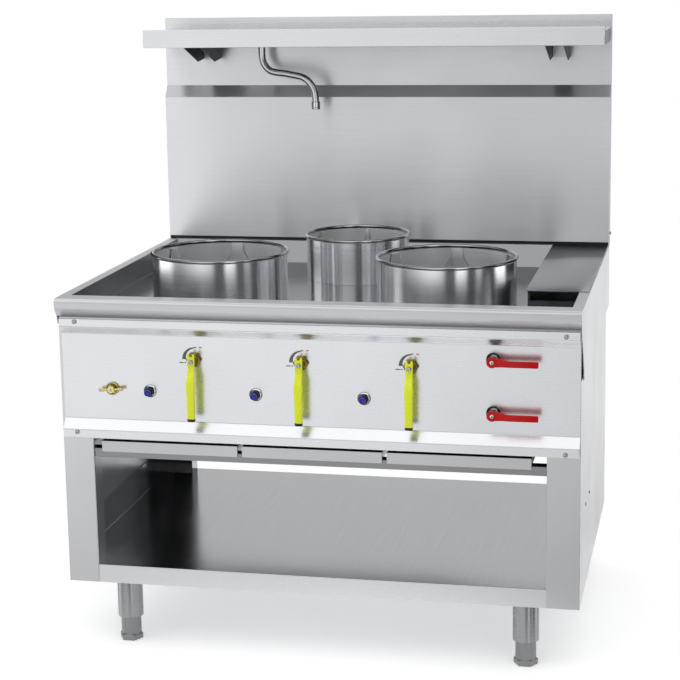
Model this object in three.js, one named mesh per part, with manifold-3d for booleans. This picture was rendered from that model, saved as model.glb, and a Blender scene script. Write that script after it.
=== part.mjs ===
// A free-standing wok range: an open cabinet on levelling legs, a sunk worktop with three wok rings,
// a control panel, a backsplash with shelf and swivel spout, and the gas and water runs inside.
// Millimetres, +Z up. While it is built, Y runs back from the worktop's front edge and Z up from the
// floor; the last lines centre the whole range on the origin.
import * as THREE from 'three';
import { mergeVertices } from 'three/addons/utils/BufferGeometryUtils.js';
import Module from 'manifold-3d';

const wasm = await Module();
wasm.setup();

// ---------------------------------------------------------------- driving dimensions

// Whole range
const rangeWidth = 1200;
const worktopHeight = 838;
const worktopDepth = 905;
const sheet = 2;
const seatGap = 0.3;

// Cabinet
const legLength = 158;
const cabinetSetback = 19;
const cabinetRearSetback = 76;
const postWidth = 74;
const postDepth = 50;
const floorFlange = 43;
const floorUpstand = 80;

// Legs and feet
const legInset = 128;
const legSetback = 63;
const legRadius = 30;
const legWall = 5.5;
const legPlateWidth = 90;
const legPlateThickness = 4;
const footLength = 58;
const footEngagement = 52;
const footHexRadius = 28;
const footHexHeight = 14;
const footClearance = 0.5;

// Worktop
const rimFrontWidth = 50;
const rimSideWidth = 24;
const rimRearWidth = 23;
const noseRadius = 11;
const noseFace = 23;
const noseHeight = 42;
const noseInset = 14;
const deckSink = 55;
const deckRearRun = 32;
const lipDrop = 62;
const lipRake = 6;
const apronDrop = 161;
const apronSetback = 84;

// Wok rings, each on its own opening in the deck
const bigRingRadius = 165;
const smallRingRadius = 132;
const leftRingInset = 294;
const leftRingSetback = 362;
const rightRingInset = 345;
const rightRingSetback = 343;
const rearRingOffset = 26;
const rearRingSetback = 237;
const ringHeight = 115;
const rimWireRadius = 4;
const openingMargin = 17;
const linerSlope = 8;
const linerDrop = 12;
const linerNotches = 6;
const notchDepth = 66;
const notchWidthShare = 0.84;
const ringSides = 36;
const openingSides = 16;

// Fire chambers and burners
const chamberDepth = 150;
const chamberWall = 3;
const chamberFlange = 9;
const hubRadius = 44;
const hubClearance = 2;
const burnerHeadRadius = 54;
const burnerHeadHeight = 88;
const hubDrop = 42;
const mixingTubeRadius = 17;
const mixingTubeBore = 13;
const mixingTubeDrop = 24;
const mixingMouthY = 96;
const mixingBoreDepth = 60;
const skirtWidth = 14;
const skirtThickness = 8;
const neckRadius = 28;
const neckHeight = 48;

// Gutter at the right of the deck
const coverWidth = 144;
const coverLength = 654;
const coverRearSetback = 25;
const slotHeight = 22;
const gutterWallInset = 4;
const gutterPost = 6;
const drainInset = 70;
const drainSetback = 205;
const drainRadius = 25;
const drainBore = 26;
const strainerFlange = 9;
const strainerDepth = 30;
const drainPipeLength = 312;

// Control panel
const panelLeftInset = 10;
const panelRightInset = 3;
const panelTopDrop = 46;
const panelHeight = 280;
const bandProtrusion = 17;
const topBand = 19;
const topSlope = 16;
const bottomBand = 20;
const bottomSlope = 24;

// Controls on the panel: inset from the range's side, drop below the rim
const gasValveLeftInset = 325;
const gasValveRightInset = 376;
const gasValveDrop = 135.5;
const igniterOffset = -107;
const igniterDrop = 212.7;
const pilotTapInset = 128;
const pilotTapDrop = 209.7;
const waterValveInset = 193;
const waterValveDrop = 115;
const waterValvePitch = 120;

// Gas valve and its lever
const bonnetRadius = 12;
const bonnetReach = 18;
const gasNutRadius = 18;
const nutThickness = 8;
const stemRadius = 5;
const stemReach = 6;
const valveBodySize = 40;
const valveBodyDepth = 44;
const injectorRadius = 8;
const injectorGap = 6;
const leverWidth = 18;
const leverBlade = 3;
const leverTop = 18;
const leverCrank = 10;
const leverCrankStart = 20;
const leverCrankEnd = 48;
const leverLength = 137;
const leverGrip = 9;
const leverNutRadius = 7;
const leverNutDepth = 5;

// Water valve and its lever
const escutcheonRadius = 16;
const escutcheonDepth = 9;
const waterBonnetRadius = 9;
const waterBodySize = 36;
const waterHubRadius = 12;
const waterLeverLength = 102;
const waterLeverHeight = 14;
const waterLeverThickness = 6.5;
const waterLeverCrank = 7;
const waterCrankStart = 22;
const waterCrankEnd = 36;

// Igniters
const igniterBezel = 15;
const igniterBezelDepth = 4;
const igniterBarrel = 10;
const igniterBarrelDepth = 52;
const buttonRadius = 7.5;
const buttonReach = 25;
const buttonInside = 28;
const buttonClearance = 0.4;

// Pilot tap
const tapFlangeRadius = 15.5;
const tapFlangeDepth = 6;
const tapStemReach = 3;
const tapWingSpan = 58;
const tapWingHeight = 11;
const tapWingThickness = 6;
const tapHubRadius = 9;
const tapBodySize = 30;

// Gas and water runs
const manifoldRadius = 10;
const manifoldDrop = 74;
const manifoldY = 42;
const gasInletInset = 160;
const gasInletHex = 17;
const stubRadius = 8;
const pilotPipeRadius = 6;
const waterPipeRadius = 7;
const waterInletHex = 12;
const waterPipeY = 39;
const supplyInset = 128;
const supplyDrop = 170;
const riserRunInset = 145;
const inletHexLength = 18;

// Drip trays and their rail
const trayGap = 10.5;
const trayLeftMargin = 18.5;
const trayRightMargin = 33.5;
const trayTopDrop = 337;
const trayLip = 25;
const trayWall = 18;
const trayRearGap = 41;
const railHeight = 21;
const railDepth = 30;
const railRearDrop = 15;
const rearFlange = 55;

// Backsplash and shelf
const backsplashOverlap = 16;
const backsplashDepth = 38;
const backsplashHeight = 599;
const backsplashFoot = 8;
const stepHeight = 388;
const stepRise = 30;
const stepRecess = 20;
const shelfDepth = 209;
const shelfInset = 4;
const shelfDrop = 34;
const fasciaBelow = 33;
const fasciaLip = 11;
const lipDepth = 14;
const shelfUpstand = 20;
const leftBracketInset = 105;
const rightBracketInset = 106;
const bracketWidth = 48;
const bracketSetback = 17;
const bracketHeelDepth = 55;
const bracketKneeDrop = 80;
const bracketHeelDrop = 75;

// Swivel spout
const spoutInset = 284;
const spoutStandoff = 57;
const spoutSwingDegrees = -13;
const spoutRadius = 9;
const spoutWall = 2;
const socketRadius = 14;
const socketHeight = 28;
const socketDrop = 5;
const spoutEngagement = 14;
const spoutFall = 72;
const spoutReach = 156;
const spoutArmFall = 16;
const spoutBend = 26;
const nozzleRadius = 11;
const nozzleLength = 20;
const spoutNozzleFall = 168;

// ---------------------------------------------------------------- places that follow

const half = rangeWidth / 2;
const rimTop = worktopHeight;
const deckTop = rimTop - deckSink;
const deckUnder = deckTop - sheet;
const cabinetHalf = half - sheet;
const cabinetRearY = worktopDepth - cabinetRearSetback;
const frontLegY = cabinetSetback + legSetback;
const rearLegY = cabinetRearY - legSetback;
const innerHalf = cabinetHalf - postWidth;
const floorTop = legLength + floorFlange;
const panHalf = half - rimSideWidth;
const panRearY = worktopDepth - rimRearWidth;
const deckRearY = panRearY - deckRearRun;
const panelFace = cabinetSetback - sheet;
const bandFace = panelFace - bandProtrusion;
const panelTop = rimTop - panelTopDrop;
const panelBottom = panelTop - panelHeight;
const ringSites = [
  { name: 'left', x: -half + leftRingInset, y: leftRingSetback, radius: bigRingRadius },
  { name: 'rear', x: -rearRingOffset, y: worktopDepth - rearRingSetback, radius: smallRingRadius },
  { name: 'right', x: half - rightRingInset, y: rightRingSetback, radius: bigRingRadius },
];
const firstBayX = -half + gasValveLeftInset;
const lastBayX = half - gasValveRightInset;
const bayXs = [firstBayX, (firstBayX + lastBayX) / 2, lastBayX];
const panelLeft = -half + panelLeftInset;
const panelRight = half - panelRightInset;
const pilotTapX = -half + pilotTapInset;
const waterValveX = half - waterValveInset;
const gasInletX = half - gasInletInset;
const supplyX = half - supplyInset;
const riserRunX = half - riserRunInset;
const drainX = half - drainInset;
const drainY = worktopDepth - drainSetback;
const backsplashSetback = worktopDepth - backsplashOverlap;
const gasValveZ = rimTop - gasValveDrop;
const stemFront = panelFace - bonnetReach - stemReach;
const leverFront = stemFront - seatGap - leverBlade - leverCrank - leverGrip / 2;
const igniterZ = rimTop - igniterDrop;
const tapZ = rimTop - pilotTapDrop;
const waterValveZs = [rimTop - waterValveDrop, rimTop - waterValveDrop - waterValvePitch];
const waterBodyDepth = 2 * (waterPipeY - cabinetSetback);
const chamberFloor = deckUnder - chamberDepth;
const mixingTubeZ = chamberFloor - mixingTubeDrop;
const backsplashRearY = backsplashSetback + backsplashDepth;
const wallY = backsplashSetback + stepRecess;
const shelfTop = rimTop + backsplashHeight - shelfDrop;
const shelfUnder = shelfTop - sheet;
const coverRight = half - sheet;
const coverLeft = coverRight - coverWidth;
const coverRearY = worktopDepth - coverRearSetback;
const coverFrontY = coverRearY - coverLength;
const shelfFrontY = wallY - shelfDepth;
const shelfHalfWidth = half - shelfInset;
const bracketFrontY = shelfFrontY + bracketSetback;
const bracketKneeY = wallY - bracketHeelDepth;
const spoutX = -half + spoutInset;
const spoutY = wallY - spoutStandoff;
const trayTop = rimTop - trayTopDrop;
const trayFloor = trayTop - trayWall;
const railFrontY = cabinetSetback + 2 * sheet + seatGap;
const trayPitch = (2 * innerHalf - trayLeftMargin - trayRightMargin + trayGap) / 3;
const trayWidth = trayPitch - trayGap;
const trayFirstX = -innerHalf + trayLeftMargin + trayWidth / 2;
const riserY = wallY + sheet + waterPipeRadius + seatGap;
const riserRunZ = waterValveZs[0];
const socketTop = shelfUnder - socketDrop;
const socketBottom = socketTop - socketHeight;

// ---------------------------------------------------------------- solids

// A closed geometry as a solid; slivers on a revolved axis are left out and faces turned outwards.
function solid(geometry) {
  const bare = geometry.index ? geometry.toNonIndexed() : geometry.clone();
  bare.deleteAttribute('normal');
  bare.deleteAttribute('uv');
  const merged = mergeVertices(bare, 1e-4);
  const corners = merged.index.array;
  const kept = [];
  for (let i = 0; i < corners.length; i += 3) {
    const [a, b, c] = [corners[i], corners[i + 1], corners[i + 2]];
    if (a !== b && b !== c && c !== a) kept.push(a, b, c);
  }
  const build = (order) => new wasm.Manifold(new wasm.Mesh({
    numProp: 3,
    vertProperties: new Float32Array(merged.attributes.position.array),
    triVerts: new Uint32Array(order),
  }));
  const made = build(kept);
  return made.volume() > 0 ? made : build(kept.reverse());
}

// A solid back as a geometry with flat faces.
function geometryOf(body) {
  const { vertProperties, triVerts, numProp } = body.getMesh();
  const corners = new Float32Array(triVerts.length * 3);
  triVerts.forEach((vertex, i) => {
    for (let axis = 0; axis < 3; axis += 1) corners[3 * i + axis] = vertProperties[vertex * numProp + axis];
  });
  const geometry = new THREE.BufferGeometry();
  geometry.setAttribute('position', new THREE.BufferAttribute(corners, 3));
  geometry.computeVertexNormals();
  return geometry;
}

const join = (first, ...others) => others.reduce((sum, next) => sum.add(next), first);
const cut = (body, ...tools) => tools.reduce((rest, tool) => rest.subtract(tool), body);

// A box between two corners.
function box([x0, y0, z0], [x1, y1, z1]) {
  const geometry = new THREE.BoxGeometry(x1 - x0, y1 - y0, z1 - z0);
  return solid(geometry.translate((x0 + x1) / 2, (y0 + y1) / 2, (z0 + z1) / 2));
}

// A cylinder along an axis ('x', 'y' or 'z') from a start point.
function rod(axis, [x, y, z], length, radius, sides = 16) {
  const geometry = new THREE.CylinderGeometry(radius, radius, Math.abs(length), sides);
  if (axis === 'x') geometry.rotateZ(-Math.PI / 2);
  if (axis === 'z') geometry.rotateX(Math.PI / 2);
  const middle = { x, y, z };
  middle[axis] += length / 2;
  return solid(geometry.translate(middle.x, middle.y, middle.z));
}

// A ball that rounds a pipe's elbow.
const ball = ([x, y, z], radius) => solid(new THREE.SphereGeometry(radius, 10, 6).translate(x, y, z));

// A pipe through right-angled corners, with a ball at each elbow.
const pipeSides = 10;
function pipe(points, radius, sides = pipeSides) {
  const pieces = [];
  for (let i = 1; i < points.length; i += 1) {
    const start = points[i - 1];
    const axis = ['x', 'y', 'z'].find((_, a) => start[a] !== points[i][a]);
    const length = points[i]['xyz'.indexOf(axis)] - start['xyz'.indexOf(axis)];
    pieces.push(rod(axis, start, length, radius, sides));
    if (i < points.length - 1) pieces.push(ball(points[i], radius));
  }
  return join(...pieces);
}

// A profile of [radius, height] points turned round the vertical axis.
function turned(profile, sides = 36) {
  const points = profile.map(([r, z]) => new THREE.Vector2(r, z));
  const onAxis = points[0].x === 0 && points[points.length - 1].x === 0;
  if (!onAxis) points.push(points[0].clone());
  return solid(new THREE.LatheGeometry(points, sides).rotateX(Math.PI / 2));
}

// A flat outline of [u, v] points, pushed from one plane to another. The plane is named by the
// axis that it is pushed along: 'x' takes (y, z), 'y' takes (x, z) and 'z' takes (x, y).
function slab(axis, outline, from, to) {
  const shape = new THREE.Shape(outline.map(([u, v]) => new THREE.Vector2(u, v)));
  const geometry = new THREE.ExtrudeGeometry(shape, { depth: to - from, bevelEnabled: false });
  geometry.translate(0, 0, from);
  const turn = new THREE.Matrix4();
  if (axis === 'x') turn.set(0, 0, 1, 0, 1, 0, 0, 0, 0, 1, 0, 0, 0, 0, 0, 1);
  if (axis === 'y') turn.set(1, 0, 0, 0, 0, 0, 1, 0, 0, 1, 0, 0, 0, 0, 0, 1);
  return solid(geometry.applyMatrix4(turn));
}

// The outline of a sheet folded along a line of points, its thickness to the right of travel.
function folded(points, thickness = sheet) {
  const inner = points.map((point, i) => {
    const before = points[Math.max(i - 1, 0)];
    const after = points[Math.min(i + 1, points.length - 1)];
    const normal = ([u0, v0], [u1, v1]) => {
      const length = Math.hypot(u1 - u0, v1 - v0);
      return [(v1 - v0) / length, -(u1 - u0) / length];
    };
    const a = i > 0 ? normal(before, point) : normal(point, after);
    const b = i < points.length - 1 ? normal(point, after) : a;
    const share = thickness / (1 + a[0] * b[0] + a[1] * b[1]);
    return [point[0] + (a[0] + b[0]) * share, point[1] + (a[1] + b[1]) * share];
  });
  return [...points, ...inner.reverse()];
}

// Points on an arc, angles in degrees.
function arc(u, v, radius, fromDegrees, toDegrees, steps) {
  return Array.from({ length: steps + 1 }, (_, i) => {
    const angle = THREE.MathUtils.degToRad(fromDegrees + (i * (toDegrees - fromDegrees)) / steps);
    return [u + radius * Math.cos(angle), v + radius * Math.sin(angle)];
  });
}

// ---------------------------------------------------------------- materials

const finish = (color, roughness, metalness) =>
  new THREE.MeshStandardMaterial({ color, roughness, metalness });
const brushed = finish(0xb9bbbe, 0.38, 1);
const polished = finish(0xc9cbcd, 0.12, 1);
const brass = finish(0xb08a3c, 0.3, 1);
const chrome = finish(0xd5d8db, 0.08, 1);
const iron = finish(0x2c2b2a, 0.8, 0.4);
const yellowSleeve = finish(0xdfe632, 0.45, 0);
const redSleeve = finish(0xc01a1c, 0.35, 0);
const blueButton = finish(0x2a2a9c, 0.35, 0);

const range = new THREE.Group();
const groups = {};

// Adds a named piece to one of the range's groups, at an optional place.
function place(groupName, name, body, material, position = [0, 0, 0], turnDegrees = 0) {
  if (!groups[groupName]) {
    groups[groupName] = new THREE.Group();
    range.add(groups[groupName]);
  }
  const mesh = new THREE.Mesh(geometryOf(body), material);
  mesh.name = name;
  mesh.position.set(...position);
  mesh.rotation.z = THREE.MathUtils.degToRad(turnDegrees);
  groups[groupName].add(mesh);
}

// ---------------------------------------------------------------- cabinet

// A side panel folded into a post at its front and at its rear; side is -1 at the left, 1 at the right.
function sidePanel(side) {
  const web = side * cabinetHalf;
  const post = side * innerHalf;
  const line = [
    [post, cabinetSetback + postDepth],
    [post, cabinetSetback],
    [web, cabinetSetback],
    [web, cabinetRearY],
    [post, cabinetRearY],
    [post, cabinetRearY - postDepth],
  ];
  const outline = folded(line, -side * sheet);
  const panel = slab('z', outline, legLength, deckUnder);
  if (side < 0) return panel;
  const windowLow = [cabinetHalf - sheet - 1, cabinetSetback + sheet, rimTop - apronDrop + sheet];
  const windowHigh = [cabinetHalf + 1, apronSetback + sheet, deckUnder + 1];
  return cut(panel, box(windowLow, windowHigh));
}

place('cabinet', 'side_panel_left', sidePanel(-1), brushed);
place('cabinet', 'side_panel_right', sidePanel(1), brushed);

const floorHalf = innerHalf - seatGap;
const floorInside = cabinetHalf - sheet - seatGap;
const notchY = postDepth + seatGap;
const floorOutline = [
  [-floorHalf, cabinetSetback],
  [floorHalf, cabinetSetback],
  [floorHalf, cabinetSetback + notchY],
  [floorInside, cabinetSetback + notchY],
  [floorInside, cabinetRearY - notchY],
  [floorHalf, cabinetRearY - notchY],
  [floorHalf, cabinetRearY],
  [-floorHalf, cabinetRearY],
  [-floorHalf, cabinetRearY - notchY],
  [-floorInside, cabinetRearY - notchY],
  [-floorInside, cabinetSetback + notchY],
  [-floorHalf, cabinetSetback + notchY],
];
const flangeAt = (y) => box([-floorHalf, y, legLength], [floorHalf, y + sheet, floorTop]);
const upstandAt = (x) => box(
  [x, cabinetSetback + notchY, floorTop - sheet],
  [x + sheet, cabinetRearY - notchY, floorTop + floorUpstand],
);
place('cabinet', 'cabinet_floor', join(
  slab('z', floorOutline, floorTop - sheet, floorTop),
  upstandAt(-floorInside),
  upstandAt(floorInside - sheet),
  flangeAt(cabinetSetback),
  flangeAt(cabinetRearY - sheet),
), brushed);

const rearPanelFoot = trayFloor - sheet;
const rearPanel = slab('x', folded([
  [cabinetRearY, deckUnder],
  [cabinetRearY, rearPanelFoot],
  [cabinetRearY - rearFlange, rearPanelFoot],
]), -floorHalf, floorHalf);
const rearHole = (x, z, radius) => rod('y', [x, cabinetRearY - 2 * sheet, z], 4 * sheet, radius, pipeSides);
place('cabinet', 'rear_panel', cut(
  rearPanel,
  rearHole(gasInletX, rimTop - manifoldDrop, manifoldRadius + seatGap),
  rearHole(supplyX, rimTop - supplyDrop, waterPipeRadius + seatGap),
  rearHole(riserRunX, riserRunZ, waterPipeRadius + seatGap),
), brushed);

// ---------------------------------------------------------------- legs and feet

const legBore = legRadius - legWall;
const halfPlate = legPlateWidth / 2;
const legCap = floorTop - sheet - legPlateThickness;
const legTube = join(
  turned([
    [legRadius, footLength],
    [legRadius, legCap],
    [0, legCap],
    [0, legCap - legPlateThickness],
    [legBore, legCap - legPlateThickness],
    [legBore, footLength],
  ], 20),
  box([-halfPlate, -halfPlate, legCap], [halfPlate, halfPlate, floorTop - sheet]),
);
const stemRadiusOfFoot = legBore - footClearance;
const footTop = footLength + footEngagement;
const foot = join(
  rod('z', [0, 0, footHexHeight / 2], footTop - footHexHeight / 2, stemRadiusOfFoot, 20),
  rod('z', [0, 0, 0], footHexHeight, footHexRadius, 6),
);
for (const [end, y] of [['front', frontLegY], ['rear', rearLegY]]) {
  for (const [hand, side] of [['left', -1], ['right', 1]]) {
    const spot = [side * (half - legInset), y, 0];
    place('legs', `leg_${end}_${hand}`, legTube, brushed, spot);
    place('legs', `foot_${end}_${hand}`, foot, brushed, spot);
  }
}

// ---------------------------------------------------------------- worktop

// The nose's outline in (y, z), moved inwards by an inset for its hollow.
const nose = (inset, bottom) => [
  [rimFrontWidth, rimTop - inset],
  ...arc(noseRadius, rimTop - noseRadius, noseRadius - inset, 90, 180, 4),
  [inset, rimTop - noseFace],
  [noseInset + inset, bottom],
  [rimFrontWidth, bottom],
];

// The pan's outline in (y, z) up to a top, grown by a sheet for its underside.
const pan = (grow, top) => [
  [rimFrontWidth - grow, top],
  [rimFrontWidth - grow, deckTop - grow],
  [deckRearY + grow, deckTop - grow],
  [panRearY + grow, top],
];

const apron = slab('x', [
  [noseInset / 2, rimTop - noseHeight],
  [apronSetback, rimTop - apronDrop],
  [worktopDepth, rimTop - apronDrop],
  [worktopDepth, rimTop - noseHeight],
], half - sheet, half);
const leftLip = slab('x', [
  [noseInset, rimTop - noseHeight],
  [noseInset + lipRake, rimTop - lipDrop],
  [worktopDepth, rimTop - lipDrop],
  [worktopDepth, rimTop - noseHeight],
], -half, -half + sheet);
const rearLip = box([-half, worktopDepth - sheet, rimTop - lipDrop], [half, worktopDepth, rimTop - sheet]);
const noseBottom = rimTop - noseHeight;
const skinInside = half - sheet;
const worktopSkin = cut(
  join(
    slab('x', nose(0, noseBottom), -half, half),
    box([-half, noseInset + sheet, noseBottom], [half, worktopDepth, rimTop]),
  ),
  slab('x', nose(sheet, noseBottom - 1), -skinInside, skinInside),
  box([-skinInside, noseInset + sheet, noseBottom - 1], [skinInside, worktopDepth - sheet, rimTop - sheet]),
);
const deckOpenings = ringSites.map(({ x, y, radius }) =>
  rod('z', [x, y, deckUnder - 1], sheet + 2, radius - openingMargin, openingSides));
place('worktop', 'worktop', cut(
  join(
    worktopSkin,
    apron,
    leftLip,
    rearLip,
    slab('x', pan(sheet, rimTop), -panHalf - sheet, panHalf + sheet),
  ),
  slab('x', pan(0, rimTop + 1), -panHalf, panHalf),
  ...deckOpenings,
  rod('z', [drainX, drainY, deckUnder - 1], sheet + 2, drainRadius + seatGap, 20),
), brushed);

const gutterLeft = coverLeft + gutterWallInset;
const gutterFront = coverFrontY + gutterWallInset / 2;
const gutterRear = deckRearY - 1;
const gutterRearTop = gutterRear + ((deckSink - sheet) * deckRearRun) / deckSink;
const slotBottom = rimTop - slotHeight;
place('worktop', 'gutter_box', join(
  slab('x', [
    [gutterFront, deckTop],
    [gutterRear, deckTop],
    [gutterRearTop, rimTop - sheet],
    [gutterRearTop, rimTop],
    [gutterFront, rimTop],
  ], gutterLeft, gutterLeft + sheet),
  box([gutterLeft, gutterFront, deckTop], [panHalf - seatGap, gutterFront + sheet, slotBottom]),
  box([gutterLeft, gutterFront, slotBottom - 1], [gutterLeft + gutterPost, gutterFront + sheet, rimTop]),
), brushed);
const coverTop = rimTop + sheet;
const gutterCover = box([coverLeft, coverFrontY, rimTop], [coverRight, coverRearY, coverTop]);
place('worktop', 'gutter_cover', gutterCover, brushed);

const basket = drainRadius - sheet;
place('worktop', 'drain_strainer', turned([
  [0, -strainerDepth],
  [drainRadius, -strainerDepth],
  [drainRadius, 0],
  [drainRadius + strainerFlange, 0],
  [drainRadius + strainerFlange, sheet],
  [basket, sheet],
  [basket, sheet - strainerDepth],
  [0, sheet - strainerDepth],
], 20), polished, [drainX, drainY, deckTop]);
place('worktop', 'drain_pipe', turned([
  [drainBore, -drainPipeLength],
  [drainBore + sheet, -drainPipeLength],
  [drainBore + sheet, -2 * sheet],
  [drainBore + strainerFlange, -2 * sheet],
  [drainBore + strainerFlange, 0],
  [drainBore, 0],
], 20), brushed, [drainX, drainY, deckUnder]);

// ---------------------------------------------------------------- wok rings

// A rolled collar: the wire's section ends where it meets the collar's inside.
function collar(radius) {
  const wireZ = ringHeight - rimWireRadius;
  const wireEnd = 180 + THREE.MathUtils.radToDeg(Math.acos(sheet / rimWireRadius));
  return turned([
    [radius - sheet, 0],
    [radius, 0],
    ...arc(radius, wireZ, rimWireRadius, -90, wireEnd, 6),
  ], ringSides);
}

// A tapered band inside the collar, notched from its top edge.
function liner(radius) {
  const top = ringHeight - linerDrop;
  const outerTop = radius - sheet - seatGap;
  const band = turned([
    [outerTop - linerSlope - chamberWall, 0],
    [outerTop - linerSlope, 0],
    [outerTop, top],
    [outerTop - chamberWall, top],
  ], ringSides);
  const notchWidth = (notchWidthShare * 2 * Math.PI * radius) / linerNotches;
  const notchRadius = Math.min(notchWidth / 2, notchDepth);
  const outline = [
    [notchWidth / 2, top + 1],
    ...arc(0, top - notchDepth + notchRadius, notchRadius, 0, -180, 8),
    [-notchWidth / 2, top + 1],
  ];
  const notches = Array.from({ length: linerNotches }, (_, i) =>
    slab('y', outline, radius / 2, radius).rotate([0, 0, ((i + 0.5) * 360) / linerNotches]));
  return cut(band, ...notches);
}

for (const { name, x, y, radius } of ringSites) {
  place('rings', `wok_ring_${name}`, collar(radius), polished, [x, y, deckTop]);
  place('rings', `ring_liner_${name}`, liner(radius), polished, [x, y, deckTop]);
}

// ---------------------------------------------------------------- fire chambers and burners

function fireChamber(radius) {
  const inner = radius - openingMargin - 1;
  const outer = inner + chamberWall;
  return turned([
    [hubRadius + hubClearance, 0],
    [outer, 0],
    [outer, chamberDepth - chamberWall],
    [outer + chamberFlange, chamberDepth - chamberWall],
    [outer + chamberFlange, chamberDepth],
    [inner, chamberDepth],
    [inner, chamberWall],
    [hubRadius + hubClearance, chamberWall],
  ], openingSides);
}

// The cast head and hub, with the mixing tube that runs forward to its valve's injector.
function burner(x, y, valveX) {
  const headBase = chamberWall;
  const headTop = headBase + burnerHeadHeight;
  const castHead = turned([
    [0, -hubDrop],
    [hubRadius, -hubDrop],
    [hubRadius, headBase],
    [hubRadius + skirtWidth, headBase],
    [hubRadius + skirtWidth, headBase + skirtThickness],
    [neckRadius, headBase + 2 * skirtThickness],
    [neckRadius, headBase + neckHeight],
    [burnerHeadRadius, headBase + neckHeight + skirtWidth],
    [burnerHeadRadius, headTop - skirtThickness],
    [burnerHeadRadius - skirtWidth, headTop],
    [0, headTop],
  ], 20);
  const dx = valveX - x;
  const dy = mixingMouthY - y;
  const length = Math.hypot(dx, dy);
  const turn = THREE.MathUtils.radToDeg(Math.atan2(-dx, dy));
  const tube = rod('y', [0, 0, 0], length, mixingTubeRadius, 12);
  const bore = rod('y', [0, length - mixingBoreDepth, 0], mixingBoreDepth + 1, mixingTubeBore, 12);
  return join(castHead, cut(tube, bore).rotate([0, 0, turn]).translate([0, 0, -mixingTubeDrop]));
}

ringSites.forEach(({ name, x, y, radius }, i) => {
  place('burners', `fire_chamber_${name}`, fireChamber(radius), iron, [x, y, chamberFloor]);
  place('burners', `burner_${name}`, burner(x, y, bayXs[i]), iron, [x, y, chamberFloor]);
});

// ---------------------------------------------------------------- control panel

const gasHole = bonnetRadius + seatGap;
const waterHole = waterBonnetRadius + seatGap;
const igniterHole = igniterBarrel + seatGap;
const tapHole = stemRadius + 2 + seatGap;
const panelHole = (x, z, radius) => rod('y', [x, panelFace - 1, z], sheet + 2, radius);
const slopeTop = panelTop - topBand;
const faceTop = slopeTop - topSlope;
const slopeBottom = panelBottom + bottomBand;
const faceBottom = slopeBottom + bottomSlope;
place('controls', 'control_panel', cut(
  slab('x', folded([
    [panelFace, panelBottom],
    [bandFace, panelBottom],
    [bandFace, slopeBottom],
    [panelFace, faceBottom],
    [panelFace, faceTop],
    [bandFace, slopeTop],
    [bandFace, panelTop],
    [panelFace, panelTop],
  ]), panelLeft, panelRight),
  ...bayXs.map((x) => panelHole(x, gasValveZ, gasHole)),
  ...bayXs.map((x) => panelHole(x + igniterOffset, igniterZ, igniterHole)),
  ...waterValveZs.map((z) => panelHole(waterValveX, z, waterHole)),
  panelHole(pilotTapX, tapZ, tapHole),
), brushed);

// A valve or tap: body behind the panel, nut or flange on it, bonnet and stem out to the handle.
// Its own frame has y = 0 on the panel's face and z = 0 on the stem.
const backOfPanel = sheet;
const gasValve = join(
  box([-valveBodySize / 2, backOfPanel, -valveBodySize / 2],
    [valveBodySize / 2, backOfPanel + valveBodyDepth, valveBodySize / 2]),
  rod('y', [0, -bonnetReach, 0], bonnetReach + backOfPanel + 1, bonnetRadius),
  rod('y', [0, -nutThickness, 0], nutThickness, gasNutRadius, 6),
  rod('y', [0, -bonnetReach - stemReach, 0], stemReach + 1, stemRadius, 12),
  pipe([
    [0, backOfPanel + valveBodyDepth / 2, 0],
    [0, backOfPanel + valveBodyDepth / 2, mixingTubeZ - gasValveZ],
    [0, mixingMouthY - panelFace - injectorGap, mixingTubeZ - gasValveZ],
  ], injectorRadius),
);

// A lever that hangs from its stem: blade, crank towards the cook, sleeved grip and end cap.
const gasLever = join(
  slab('x', folded([
    [0, leverTop],
    [0, -leverCrankStart],
    [-leverCrank, -leverCrankEnd],
    [-leverCrank, -leverLength],
  ], leverBlade), -leverWidth / 2, leverWidth / 2),
  box([-leverWidth / 2, -leverCrank - leverBlade - leverGrip / 2, -leverLength],
    [leverWidth / 2, -leverCrank - leverBlade + leverGrip / 2, -leverCrankEnd]),
  rod('y', [0, -leverBlade - leverNutDepth, 0], leverNutDepth + 1, leverNutRadius, 6),
);

const igniter = cut(
  join(
    rod('y', [0, -igniterBezelDepth, 0], igniterBezelDepth, igniterBezel),
    rod('y', [0, -1, 0], igniterBarrelDepth + 1, igniterBarrel),
  ),
  rod('y', [0, -igniterBezelDepth - 1, 0], igniterBarrelDepth, buttonRadius + buttonClearance),
);
const button = rod('y', [0, -buttonReach, 0], buttonReach + buttonInside, buttonRadius);

bayXs.forEach((x, i) => {
  const { name } = ringSites[i];
  place('controls', `gas_valve_${name}`, gasValve, brass, [x, panelFace, gasValveZ]);
  place('controls', `gas_lever_${name}`, gasLever, yellowSleeve, [x, stemFront - seatGap, gasValveZ]);
  place('controls', `igniter_${name}`, igniter, chrome, [x + igniterOffset, panelFace, igniterZ]);
  place('controls', `igniter_button_${name}`, button, blueButton, [x + igniterOffset, panelFace, igniterZ]);
});

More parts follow.
